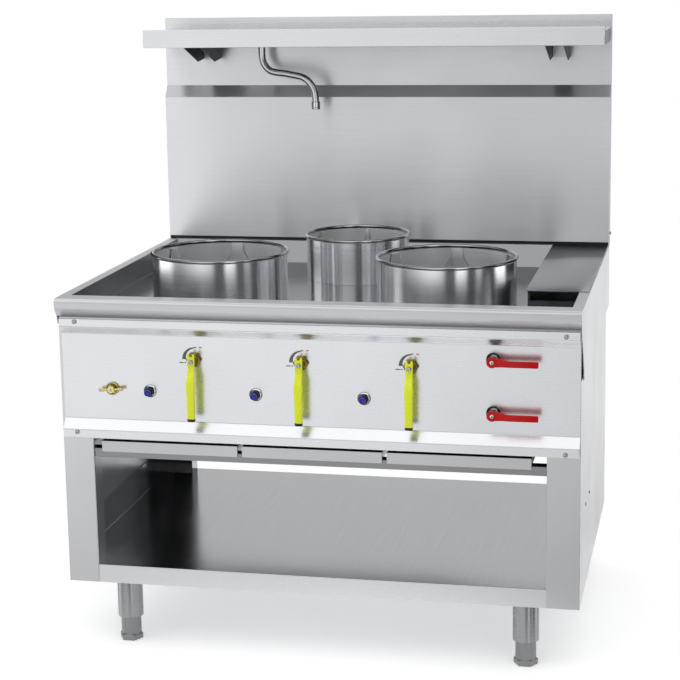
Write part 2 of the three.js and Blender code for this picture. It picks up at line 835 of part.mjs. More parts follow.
const waterValve = join(
  box([-waterBodySize / 2, backOfPanel, -waterBodySize / 2],
    [waterBodySize / 2, backOfPanel + waterBodyDepth, waterBodySize / 2]),
  rod('y', [0, -bonnetReach, 0], bonnetReach + backOfPanel + 1, waterBonnetRadius),
  rod('y', [0, -escutcheonDepth, 0], escutcheonDepth, escutcheonRadius, 20),
  rod('y', [0, -bonnetReach - stemReach, 0], stemReach + 1, stemRadius, 12),
);
const armTop = waterLeverHeight / 2;
const waterLever = join(
  rod('y', [0, -waterLeverThickness, 0], waterLeverThickness, waterHubRadius, 20),
  slab('z', [
    [0, 0],
    [waterCrankStart, 0],
    [waterCrankEnd, -waterLeverCrank],
    [waterLeverLength, -waterLeverCrank],
    [waterLeverLength, -waterLeverCrank - waterLeverThickness],
    [waterCrankEnd - 2, -waterLeverCrank - waterLeverThickness],
    [waterCrankStart - 2, -waterLeverThickness],
    [0, -waterLeverThickness],
  ], -armTop, armTop),
);
waterValveZs.forEach((z, i) => {
  const name = ['upper', 'lower'][i];
  place('controls', `water_valve_${name}`, waterValve, chrome, [waterValveX, panelFace, z]);
  place('controls', `water_lever_${name}`, waterLever, redSleeve, [waterValveX, stemFront - seatGap, z]);
});

const tapStemFront = tapFlangeDepth + tapStemReach;
place('controls', 'pilot_tap', join(
  box([-tapBodySize / 2, backOfPanel, -tapBodySize / 2],
    [tapBodySize / 2, backOfPanel + waterBodyDepth, tapBodySize / 2]),
  rod('y', [0, -tapFlangeDepth, 0], tapFlangeDepth, tapFlangeRadius),
  rod('y', [0, -1, 0], 4, stemRadius + 2),
  rod('y', [0, -tapStemFront, 0], tapStemReach + 1, stemRadius, 12),
), brass, [pilotTapX, panelFace, tapZ]);
place('controls', 'pilot_tap_wing', join(
  rod('y', [0, -tapWingThickness, 0], tapWingThickness, tapHubRadius),
  box([-tapWingSpan / 2, -tapWingThickness, -tapWingHeight / 2], [tapWingSpan / 2, 0, tapWingHeight / 2]),
), brass, [pilotTapX, panelFace - tapStemFront - seatGap, tapZ]);

// ---------------------------------------------------------------- gas and water runs

const manifoldZ = rimTop - manifoldDrop;
const stubLength = gasValveZ + valveBodySize / 2 - manifoldZ;
const gasStub = (x) => rod('z', [x, manifoldY, manifoldZ], stubLength, stubRadius, 12);
const inletHex = (x, z, radius) =>
  rod('y', [x, backsplashRearY - inletHexLength, z], inletHexLength, radius, 6);
place('runs', 'gas_manifold', join(
  pipe([
    [pilotTapX, manifoldY, tapZ + tapBodySize / 2],
    [pilotTapX, manifoldY, manifoldZ],
  ], pilotPipeRadius),
  pipe([
    [pilotTapX - manifoldRadius, manifoldY, manifoldZ],
    [gasInletX, manifoldY, manifoldZ],
    [gasInletX, backsplashRearY - 1, manifoldZ],
  ], manifoldRadius),
  ...bayXs.map(gasStub),
  inletHex(gasInletX, manifoldZ, gasInletHex),
), iron);

const halfWater = waterBodySize / 2;
const supplyZ = rimTop - supplyDrop;
const supply = pipe([
  [waterValveX, waterPipeY, supplyZ],
  [supplyX, waterPipeY, supplyZ],
  [supplyX, backsplashRearY - 1, supplyZ],
], waterPipeRadius);
place('runs', 'water_supply_pipe', join(
  supply,
  rod('z', [waterValveX, waterPipeY, waterValveZs[1] + halfWater],
    waterValvePitch - waterBodySize, waterPipeRadius, 12),
  inletHex(supplyX, supplyZ, waterInletHex),
), polished);

// The riser ends in the elbow and socket that carry the spout, under the shelf.
const socketMiddle = (socketTop + socketBottom) / 2;
const riser = pipe([
  [waterValveX + halfWater, waterPipeY, riserRunZ],
  [riserRunX, waterPipeY, riserRunZ],
  [riserRunX, riserY, riserRunZ],
  [spoutX, riserY, riserRunZ],
  [spoutX, riserY, socketMiddle],
  [spoutX, spoutY, socketMiddle],
], waterPipeRadius);
const socketBore = rod('z', [spoutX, spoutY, socketBottom - 1], spoutEngagement + 1 + seatGap,
  spoutRadius + seatGap, 16);
place('runs', 'riser_pipe', cut(
  join(riser, rod('z', [spoutX, spoutY, socketBottom], socketHeight, socketRadius, 20)),
  socketBore,
), chrome);

// ---------------------------------------------------------------- drip trays

place('trays', 'tray_rail', slab('x', folded([
  [railFrontY + railDepth, trayFloor - railRearDrop],
  [railFrontY + railDepth, trayFloor],
  [railFrontY, trayFloor],
  [railFrontY, trayFloor - railHeight],
  [railFrontY + railDepth / 2, trayFloor - railHeight],
].reverse()), -innerHalf, innerHalf), brushed);

const trayFront = railFrontY - seatGap;
const trayRear = cabinetRearY - trayRearGap;
const tray = join(
  cut(
    box([-trayWidth / 2, trayFront - sheet, 0], [trayWidth / 2, trayRear, trayWall]),
    box([-trayWidth / 2 + sheet, trayFront + sheet, sheet],
      [trayWidth / 2 - sheet, trayRear - sheet, trayWall + 1]),
  ),
  box([-trayWidth / 2, trayFront - sheet, trayWall - trayLip], [trayWidth / 2, trayFront, trayWall]),
);
['left', 'middle', 'right'].forEach((name, i) => {
  place('trays', `drip_tray_${name}`, tray, brushed, [trayFirstX + i * trayPitch, 0, trayFloor]);
});

// ---------------------------------------------------------------- backsplash and shelf

const backTop = rimTop + backsplashHeight;
const stepZ = rimTop + stepHeight;
const skin = slab('x', folded([
  [worktopDepth, rimTop + backsplashFoot],
  [backsplashSetback, rimTop + backsplashFoot],
  [backsplashSetback, stepZ],
  [wallY, stepZ + stepRise],
  [wallY, backTop],
  [backsplashRearY, backTop],
]), -half, half);
const cheekOutline = [
  [backsplashSetback, rimTop],
  [backsplashRearY, rimTop],
  [backsplashRearY, backTop],
  [wallY, backTop],
  [wallY, stepZ + stepRise],
  [backsplashSetback, stepZ],
];
place('back', 'backsplash', cut(
  join(
    skin,
    slab('x', cheekOutline, -half, -half + sheet),
    slab('x', cheekOutline, half - sheet, half),
  ),
  rod('y', [spoutX, wallY - 1, socketMiddle], sheet + 2, waterPipeRadius + seatGap, 16),
), brushed);

const fasciaBottom = shelfUnder - fasciaBelow;
const withinSheet = sheet / 2;
const shelfCheek = [
  [shelfFrontY + withinSheet, fasciaBottom + withinSheet],
  [wallY - withinSheet, fasciaBottom + withinSheet],
  [wallY - withinSheet, shelfTop - withinSheet],
  [shelfFrontY + withinSheet, shelfTop - withinSheet],
];
place('back', 'shelf', join(
  slab('x', folded([
    [shelfFrontY + lipDepth, fasciaBottom],
    [shelfFrontY, fasciaBottom],
    [shelfFrontY, shelfTop + fasciaLip],
    [shelfFrontY + lipDepth, shelfTop + fasciaLip],
    [shelfFrontY + lipDepth, shelfTop],
    [wallY - sheet, shelfTop],
    [wallY - sheet, shelfTop + shelfUpstand],
  ]), -shelfHalfWidth, shelfHalfWidth),
  slab('x', shelfCheek, -shelfHalfWidth, -shelfHalfWidth + sheet),
  slab('x', shelfCheek, shelfHalfWidth - sheet, shelfHalfWidth),
), brushed);

// A shelf bracket: two gussets joined by a strip under the shelf and a strip on the wall.
const gusset = [
  [bracketFrontY, shelfUnder],
  [bracketFrontY, fasciaBottom + sheet],
  [bracketKneeY, shelfTop - bracketKneeDrop],
  [wallY, shelfTop - bracketHeelDrop],
  [wallY, shelfUnder],
];
const bracketLefts = { left: -half + leftBracketInset, right: half - rightBracketInset - bracketWidth };
for (const [name, left] of Object.entries(bracketLefts)) {
  const right = left + bracketWidth;
  place('back', `shelf_bracket_${name}`, join(
    slab('x', gusset, left, left + sheet),
    slab('x', gusset, right - sheet, right),
    box([left, bracketFrontY, shelfUnder - sheet], [right, wallY, shelfUnder]),
    box([left, wallY - sheet, shelfTop - bracketHeelDrop], [right, wallY, shelfUnder]),
  ), brushed);
}

// The swivel spout: down from its socket, out along the wall and down to the nozzle.
class SpoutLine extends THREE.Curve {
  constructor() {
    super();
    const low = socketBottom - spoutFall;
    this.line = new THREE.CatmullRomCurve3([
      new THREE.Vector3(0, 0, socketBottom + spoutEngagement),
      new THREE.Vector3(0, 0, socketBottom),
      new THREE.Vector3(0.12 * spoutBend, 0, low + spoutBend),
      new THREE.Vector3(0.85 * spoutBend, 0, low + 0.15 * spoutBend),
      new THREE.Vector3(spoutReach / 2, 0, low - spoutArmFall / 3),
      new THREE.Vector3(spoutReach - 1.2 * spoutBend, 0, low - spoutArmFall),
      new THREE.Vector3(spoutReach - 0.23 * spoutBend, 0, low - spoutArmFall - spoutBend),
      new THREE.Vector3(spoutReach, 0, socketBottom - spoutNozzleFall + nozzleLength),
      new THREE.Vector3(spoutReach, 0, socketBottom - spoutNozzleFall + nozzleLength / 5),
    ], false, 'centripetal');
  }

  getPoint(t, target = new THREE.Vector3()) {
    return this.line.getPointAt(t, target);
  }
}
const ringOf = (radius) => new THREE.Shape().absarc(0, 0, radius, 0, 2 * Math.PI);
const spoutSweep = (radius) => solid(new THREE.ExtrudeGeometry(
  new THREE.Shape(ringOf(radius).getPoints(5)),
  { steps: 22, extrudePath: new SpoutLine(), bevelEnabled: false },
));
const nozzleBottom = socketBottom - spoutNozzleFall;
place('back', 'spout', cut(
  join(
    spoutSweep(spoutRadius),
    rod('z', [spoutReach, 0, nozzleBottom], nozzleLength, nozzleRadius, 20),
  ),
  rod('z', [spoutReach, 0, nozzleBottom - 1], nozzleLength / 2, nozzleRadius - spoutWall, 16),
), chrome, [spoutX, spoutY, 0], spoutSwingDegrees);

// The origin is on the floor, in the middle of the whole range from lever to backsplash.
range.position.set(0, -(leverFront + backsplashRearY) / 2, 0);

export default range;
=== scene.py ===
"""A free-standing wok range of stainless steel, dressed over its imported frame."""
import logging
import math
from collections.abc import Callable, Sequence
from dataclasses import dataclass, field
from enum import Enum

import bmesh
import bpy
from mathutils import Matrix, Vector


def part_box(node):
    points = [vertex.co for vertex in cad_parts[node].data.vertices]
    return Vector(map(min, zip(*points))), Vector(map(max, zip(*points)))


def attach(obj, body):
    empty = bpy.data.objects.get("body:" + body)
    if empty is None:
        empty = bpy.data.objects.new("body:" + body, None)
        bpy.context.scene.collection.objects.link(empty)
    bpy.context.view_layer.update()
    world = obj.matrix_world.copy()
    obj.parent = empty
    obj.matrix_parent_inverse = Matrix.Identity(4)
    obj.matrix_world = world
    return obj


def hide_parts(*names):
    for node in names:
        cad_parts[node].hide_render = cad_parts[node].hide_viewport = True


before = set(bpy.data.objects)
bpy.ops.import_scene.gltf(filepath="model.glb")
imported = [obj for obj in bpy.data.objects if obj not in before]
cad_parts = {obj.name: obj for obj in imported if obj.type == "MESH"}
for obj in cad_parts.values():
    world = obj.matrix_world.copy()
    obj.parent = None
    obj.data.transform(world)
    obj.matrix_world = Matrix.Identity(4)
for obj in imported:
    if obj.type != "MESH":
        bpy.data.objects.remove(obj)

log = logging.getLogger("wok_range")

MM = 0.001
SHARP_ANGLE = math.radians(34)
HOME = Matrix.Identity(4)
TO_COOK = Matrix.Rotation(math.radians(90), 4, "X")  # turns a profile's +Z towards -Y, to the cook

# Places that several sub-assemblies share, in mm. Depths run back from the worktop's front edge.
FRONT_EDGE_Y = -451.1  # the front edge's own place in the row frame
FROM_EDGE = Matrix.Translation((0, FRONT_EDGE_Y, 0))
HOLES = ("left", "rear", "right")
GAS_XS = (-275.0, -25.5, 224.0)
GAS_Z = 702.5
GAS_BODY = 20.0  # half the width of a gas valve's block
WATER_X = 407.0
WATER_ZS = {"upper": 723.0, "lower": 603.0}
WATER_BODY = 18.0
PILOT_X, PILOT_Z = -472.0, 628.3
PILOT_BODY = 15.0
PANEL_FACE = 17.0
STEM_FRONT = -7.0  # how far the valves' stems reach
SPOUT_X, SPOUT_Y = -316.0, 852.0

Point = Sequence[float]
Outline = Sequence[tuple[float, float]]
Loop = list[Vector]
Piece = bpy.types.Object
Tree = bpy.types.NodeTree
Socket = bpy.types.NodeSocket


class Axis(Enum):
    """The axis that a slab is pushed along, or that sections stand along."""

    X = 0
    Y = 1
    Z = 2


class Grain(Enum):
    """How a finish's fine lines run on a piece: along an axis, or round a turned piece."""

    ALONG_X = Vector((1, 0, 0))
    ALONG_Y = Vector((0, 1, 0))
    ALONG_Z = Vector((0, 0, 1))
    ROUND = None


# ---------------------------------------------------------------- nodes and colours


def linear(code: str, share: float = 1.0) -> tuple[float, float, float, float]:
    """Turns an sRGB hex colour into the linear values that a shader reads.

    Args:
        code: Six hex digits.
        share: A factor on the linear values.

    Returns:
        Red, green, blue and an alpha of one.
    """
    values = []
    for start in (0, 2, 4):
        part = int(code[start:start + 2], 16) / 255
        values.append(share * (part / 12.92 if part <= 0.04045 else ((part + 0.055) / 1.055) ** 2.4))
    return (values[0], values[1], values[2], 1.0)


def add_node(tree: Tree, kind: str, inputs: dict | None = None, stops: Outline = (),
             **settings: object) -> bpy.types.Node:
    """Adds a node with its settings, values and links.

    Args:
        tree: The tree that gets the node.
        kind: The node's type.
        inputs: A value or a socket to link from, by input name or number.
        stops: Grey stops of a colour ramp, as (place, level).
        **settings: Properties of the node.

    Returns:
        The new node.
    """
    node = tree.nodes.new(kind)
    for key, value in settings.items():
        setattr(node, key, value)
    for key, value in (inputs or {}).items():
        if isinstance(value, Socket):
            tree.links.new(value, node.inputs[key])
        else:
            node.inputs[key].default_value = value
    for i, (place, level) in enumerate(stops):
        stop = node.color_ramp.elements[i] if i < 2 else node.color_ramp.elements.new(place)
        stop.position = place
        stop.color = (level, level, level, 1.0)
    return node


def empty_tree(owner: bpy.types.Material | bpy.types.World) -> Tree:
    """Switches a material's or a world's nodes on and returns its emptied tree."""
    owner.use_nodes = True
    owner.node_tree.nodes.clear()
    return owner.node_tree


# ---------------------------------------------------------------- finishes


@dataclass(frozen=True)
class Finish:
    """A surface's finish. A subclass says how its nodes are laid."""

    name: str
    roughness: float = 0.3
    grain: Grain | None = None
    stretch: float = 0.0

    def material(self) -> bpy.types.Material:
        """Returns the finish's material, made at its first use."""
        known = bpy.data.materials.get(self.name)
        if known:
            return known
        made = bpy.data.materials.new(self.name)
        tree = empty_tree(made)
        inputs = self.lay(tree)
        if self.stretch:
            across = add_node(tree, "ShaderNodeTangent", direction_type="UV_MAP", uv_map="across_grain")
            inputs |= {"Anisotropic": self.stretch, "Tangent": across.outputs["Tangent"]}
        shader = add_node(tree, "ShaderNodeBsdfPrincipled", inputs)
        add_node(tree, "ShaderNodeOutputMaterial", {"Surface": shader.outputs["BSDF"]})
        return made

    def lay(self, tree: Tree) -> dict:
        """Lays the finish's own nodes and returns its shader's inputs."""
        raise NotImplementedError

    def spots(self, tree: Tree, size: Point, detail: float = 3.0) -> Socket:
        """Adds a noise that is fixed to the piece.

        Args:
            tree: The material's tree.
            size: A wave's length along each axis, in millimetres.
            detail: Octaves of the noise.

        Returns:
            The noise's factor socket.
        """
        coords = add_node(tree, "ShaderNodeTexCoord")
        mapped = add_node(tree, "ShaderNodeMapping", {
            "Vector": coords.outputs["Object"], "Scale": [1 / (length * MM) for length in size],
        })
        noise = add_node(tree, "ShaderNodeTexNoise", {
            "Vector": mapped.outputs["Vector"], "Scale": 1.0, "Detail": detail, "Roughness": 0.6,
        })
        return noise.outputs["Fac"]

    def spread(self, tree: Tree, factor: Socket, low: float, high: float) -> Socket:
        """Maps a noise's middle band onto a span.

        Args:
            tree: The material's tree.
            factor: The noise.
            low: Value at the band's low end.
            high: Value at its high end.

        Returns:
            The mapped value's socket.
        """
        mapped = add_node(tree, "ShaderNodeMapRange", {
            "Value": factor, "From Min": 0.3, "From Max": 0.7, "To Min": low, "To Max": high,
        })
        return mapped.outputs["Result"]

    def tint(self, tree: Tree, factor: Socket, dark: Point, light: Point) -> Socket:
        """Mixes two colours by a noise.

        Args:
            tree: The material's tree.
            factor: The noise.
            dark: Colour at the noise's low end.
            light: Colour at its high end.

        Returns:
            The mixed colour's socket.
        """
        share = self.spread(tree, factor, 0.0, 1.0)
        mixed = add_node(tree, "ShaderNodeMix", {0: share, 6: dark, 7: light}, data_type="RGBA")
        return mixed.outputs[2]

    def relief(self, tree: Tree, height: Socket, strength: float, depth: float = 0.05) -> Socket:
        """Adds a bump.

        Args:
            tree: The material's tree.
            height: The height's socket.
            strength: Share of the bump that shows.
            depth: Height of the bump in millimetres.

        Returns:
            The bent normal's socket.
        """
        bump = add_node(tree, "ShaderNodeBump", {
            "Height": height, "Strength": strength, "Distance": depth * MM,
        })
        return bump.outputs["Normal"]


@dataclass(frozen=True)
class BrushedSteel(Finish):
    """304 stainless sheet, belt-brushed: fine parallel lines that blur what the sheet mirrors."""

    roughness: float = 0.2
    grain: Grain = Grain.ALONG_X
    stretch: float = 0.5
    tone: float = 0.74
    cast: tuple[float, float, float] = (0.975, 0.99, 1.02)  # the steel's cold tinge
    relief_share: float = 0.12
    streak: float = 3.0  # mm, drawn coarser than the real 0.1 mm lines so that they show
    run: float = 260.0  # mm, how far one streak runs
    cloud: float = 250.0  # mm, how wide a handling mark is

    def lay(self, tree: Tree) -> dict:
        """Lays streaks along the grain and cloudy handling marks across it."""
        along = self.grain.value or Vector((0.4, 0.4, 0))
        streaks = self.spots(tree, [self.run if share else self.streak for share in along])
        clouds = self.spots(tree, [self.cloud] * 3, 2.0)
        cool = [self.tone * part for part in self.cast]
        dark, light = ((*(value * share for value in cool), 1.0) for share in (0.975, 1.03))
        both = add_node(tree, "ShaderNodeMath", {0: streaks, 1: clouds}, operation="ADD")
        half = add_node(tree, "ShaderNodeMath", {0: both.outputs[0], 1: 0.5}, operation="MULTIPLY")
        low, high = self.roughness - 0.03, self.roughness + 0.04
        return {
            "Base Color": self.tint(tree, streaks, dark, light),
            "Metallic": 1.0,
            "Roughness": self.spread(tree, half.outputs[0], low, high),
            "Normal": self.relief(tree, streaks, self.relief_share),
        }


@dataclass(frozen=True)
class PolishedMetal(Finish):
    """Buffed or plated metal: a clear mirror with faint smears and hairline scratches."""

    roughness: float = 0.08
    colour: str = "dcdee0"
    smear: float = 25.0  # mm
    # Painted reflection: a grey ramp by the facing, as (facing, level), multiplied into the colour.
    edges: tuple[tuple[float, float], ...] = ()

    def lay(self, tree: Tree) -> dict:
        """Lays smears that dull the mirror a little, and its painted reflection: light and dark lines
        laid by the facing.
        """
        smears = self.spots(tree, [self.smear] * 3)
        colour = self.tint(tree, smears, linear(self.colour, 0.94), linear(self.colour))
        # Painted reflection: the colour is multiplied by the ramp's dark and light lines, by the
        # facing.
        if self.edges:
            turned = add_node(tree, "ShaderNodeLayerWeight", {"Blend": 0.5})
            lines = add_node(tree, "ShaderNodeValToRGB", {"Fac": turned.outputs["Facing"]}, self.edges)
            shaded = add_node(tree, "ShaderNodeMix", {0: 1.0, 6: colour, 7: lines.outputs["Color"]},
                              data_type="RGBA", blend_type="MULTIPLY")
            colour = shaded.outputs[2]
        return {
            "Base Color": colour,
            "Metallic": 1.0,
            "Roughness": self.spread(tree, smears, self.roughness * 0.8, self.roughness * 1.3),
            "Normal": self.relief(tree, smears, 0.03),
        }


@dataclass(frozen=True)
class CastIron(Finish):
    """Grey iron as cast and heat-darkened: matt, pitted, with rust-brown bloom in places."""

    grit: float = 1.6  # mm
    bloom: float = 45.4545  # mm

    def lay(self, tree: Tree) -> dict:
        """Lays sand pits and a brown heat bloom."""
        pits = self.spots(tree, [self.grit] * 3, 4.0)
        bloom = self.spots(tree, [self.bloom] * 3)
        return {
            "Base Color": self.tint(tree, bloom, linear("242322"), linear("3a322c")),
            "Metallic": 0.35,
            "Roughness": self.spread(tree, pits, 0.6, 0.82),
            "Normal": self.relief(tree, pits, 0.5, 0.4),
        }


@dataclass(frozen=True)
class Coated(Finish):
    """A coloured polymer or paint: a soft gloss over a colour that is a little uneven."""

    colour: str = "dfe632"
    shade: str = "c9d024"
    mottle: float = 6.0  # mm
    shine: float = 0.5

    def lay(self, tree: Tree) -> dict:
        """Lays the mottled colour, its gloss and a faint skin texture."""
        mottle = self.spots(tree, [self.mottle] * 3)
        return {
            "Base Color": self.tint(tree, mottle, linear(self.shade), linear(self.colour)),
            "Roughness": self.spread(tree, mottle, self.roughness - 0.05, self.roughness + 0.06),
            "IOR": 1.5,
            "Specular IOR Level": self.shine,
            "Normal": self.relief(tree, mottle, 0.1),
        }


# Broad faces are kept satin, so near things show in them as soft shadows.
PANEL_STEEL = BrushedSteel("stainless_satin_panel", 0.27, stretch=0.4, tone=0.83, relief_share=0.004)
RIM_STEEL = BrushedSteel("stainless_satin_rim", 0.36, tone=0.7, relief_share=0.02)
# Painted shade: a darker copy of the satin steel, for the tray rail behind the trays' fronts, the
# worktop's rear and left slopes and the rear panel's front.
PAINTED_SHADE_DIM = BrushedSteel("stainless_painted_shade_dim", 0.25, tone=0.3, relief_share=0.03)
# Painted shade, near black: the side panels' rear posts, seen through the open cabinet.
PAINTED_SHADE_DEEP = BrushedSteel("stainless_painted_shade_deep", 0.25, tone=0.03, relief_share=0.03)
SIDE_STEEL = BrushedSteel("stainless_brushed_side", 0.22, Grain.ALONG_Z, tone=0.62)
FLOOR_STEEL = BrushedSteel("stainless_bright_floor", 0.14, Grain.ALONG_Y, tone=0.7)
# Painted shade: the sunk deck, the gutter box and its cover are the rim's steel drawn darker.
DECK_PAINTED_SHADE = BrushedSteel("stainless_satin_painted_shade_deck", 0.14, stretch=0.4, tone=0.4, relief_share=0.03)
WALL_STEEL = BrushedSteel("stainless_brushed_wall", 0.3, stretch=0.92, tone=0.88)
# Painted shade: the backsplash's step under the shelf, which looks down, is a darker copy of the wall's
# steel.
STEP_PAINTED_SHADE = BrushedSteel("stainless_painted_shade_step", 0.3, stretch=0.92, tone=0.6)
TRAY_STEEL = BrushedSteel("stainless_satin_tray", 0.3, stretch=0.4, tone=0.62, relief_share=0.02)
# Turned and spun pieces stretch their highlights up and down.
TUBE_STEEL = BrushedSteel("stainless_ground_tube", 0.26, Grain.ROUND, 0.8, 0.33, relief_share=0.02)
FOOT_STEEL = BrushedSteel("stainless_turned_foot", 0.3, Grain.ROUND, 0.8, 0.26)
RING_STEEL = BrushedSteel("stainless_spun_ring", 0.2, Grain.ROUND, 0.96, 0.97, relief_share=0.005)
LINER_STEEL = BrushedSteel("stainless_pressed_liner", 0.16, Grain.ROUND, 0.6, 0.62, relief_share=0.005)
INSIDE_STEEL = BrushedSteel("stainless_dull_inside", 0.45, Grain.ROUND, 0.3, 1.0, relief_share=0.005)
# The polished metals below carry painted reflection: chrome in a white tent shows dark lines where it
# turns away, and these lines are laid into the colour by the facing.
CHROME = PolishedMetal("chrome_plate", 0.05, colour="e6e8ea", edges=(
    (0.0, 1.0), (0.14, 0.9), (0.26, 0.05), (0.48, 0.05), (0.6, 0.95), (0.78, 0.5), (0.9, 0.03)))
# Painted reflection: the rosette's chrome is drawn darker than the plate, for the dark surroundings it
# mirrors, on top of its painted lines.
CHROME_PAINTED_DARK = PolishedMetal("chrome_painted_dark_reflection", 0.06, colour="b5b7bb", edges=(
    (0.0, 0.7), (0.12, 0.05), (0.38, 0.03), (0.55, 0.7), (0.68, 0.04)))
WIRE_CHROME = PolishedMetal("stainless_buffed_wire", 0.1, colour="d8dadc", edges=(
    (0.0, 1.0), (0.2, 0.3), (0.45, 0.1), (0.6, 1.0), (0.9, 1.0), (1.0, 0.2)))
TAP_BRASS = PolishedMetal("brass_bright_tap", 0.12, colour="e2d58e", smear=9.0, edges=(
    (0.0, 1.0), (0.2, 0.95), (0.4, 0.3), (0.6, 0.95), (0.85, 0.35)))
BRASS = PolishedMetal("brass_turned", 0.16, colour="a08a40", smear=9.0, edges=(
    (0.0, 1.0), (0.3, 0.85), (0.55, 0.3), (0.8, 0.8)))
ZINC = PolishedMetal("zinc_plated_screw", 0.22, colour="b4b6b8", smear=5.0)
IRON = CastIron("grey_iron_cast")
PIPE_PAINT = Coated("steel_pipe_enamel", 0.45, colour="55585c", shade="484b4f")
# Painted shade: the shelf brackets are drawn black, though they are steel.
BRACKET_PAINTED_SHADE = Coated("steel_painted_shade_black", colour="1b1b1d", shade="141416")
YELLOW = Coated("vinyl_dipped_yellow", 0.42, colour="eef83c", shade="e4f030", shine=0.25)
RED = Coated("epoxy_paint_red", colour="c60a0c", shade="b4080a", shine=0.25)
BLUE = Coated("abs_moulded_blue", 0.22, colour="2c2aa8", shade="232190")
BLACK = Coated("rubber_moulded_black", 0.4, colour="121213", shade="0c0c0d")
WHITE = Coated("nylon_moulded_white", 0.35, colour="f0f0f2", shade="e2e2e6")
INK = Coated("dial_ink_grey", 0.5, colour="6d6f72", shade="5c5e62")
RED_INK = Coated("dial_ink_red", 0.5, colour="b0575c", shade="9c4a50")


# ---------------------------------------------------------------- mesh code


def at(x: float, y: float, z: float) -> Matrix:
    """Returns a move to a place given in millimetres from the worktop's front edge."""
    return Matrix.Translation((x, y + FRONT_EDGE_Y, z))


def oval(x_half: float, y_half: float, steps: int = 24, square: float = 2.0) -> Outline:
    """Draws a closed super-ellipse.

    Args:
        x_half: Half its width.
        y_half: Half its height.
        steps: Points round it.
        square: 2 for an ellipse, more for a rounded rectangle.

    Returns:
        Its points, counter-clockwise.
    """
    points = []
    for i in range(steps):
        c = math.cos(2 * math.pi * i / steps)
        s = math.sin(2 * math.pi * i / steps)
        u = math.copysign(abs(c) ** (2 / square), c)
        v = math.copysign(abs(s) ** (2 / square), s)
        points.append((x_half * u, y_half * v))
    return points


def bent(points: Sequence[Point], radius: float, steps: int = 6) -> Loop:
    """Rounds the corners of a line in space.

    Args:
        points: The line's corners.
        radius: Radius of the bends.
        steps: Points on each bend.

    Returns:
        The points of the rounded line.
    """
    corners = [Vector(p) for p in points]
    line = [corners[0]]
    for before, corner, after in zip(corners, corners[1:], corners[2:]):
        into = (corner - before).normalized()
        out = (after - corner).normalized()
        turn = into.angle(out)
        half = min((corner - before).length, (after - corner).length) / 2
        reach = min(radius * math.tan(turn / 2), half)
        start, end = corner - into * reach, corner + out * reach
        for i in range(steps + 1):
            t = i / steps
            line.append((1 - t) ** 2 * start + 2 * t * (1 - t) * corner + t ** 2 * end)
    line.append(corners[-1])
    return line


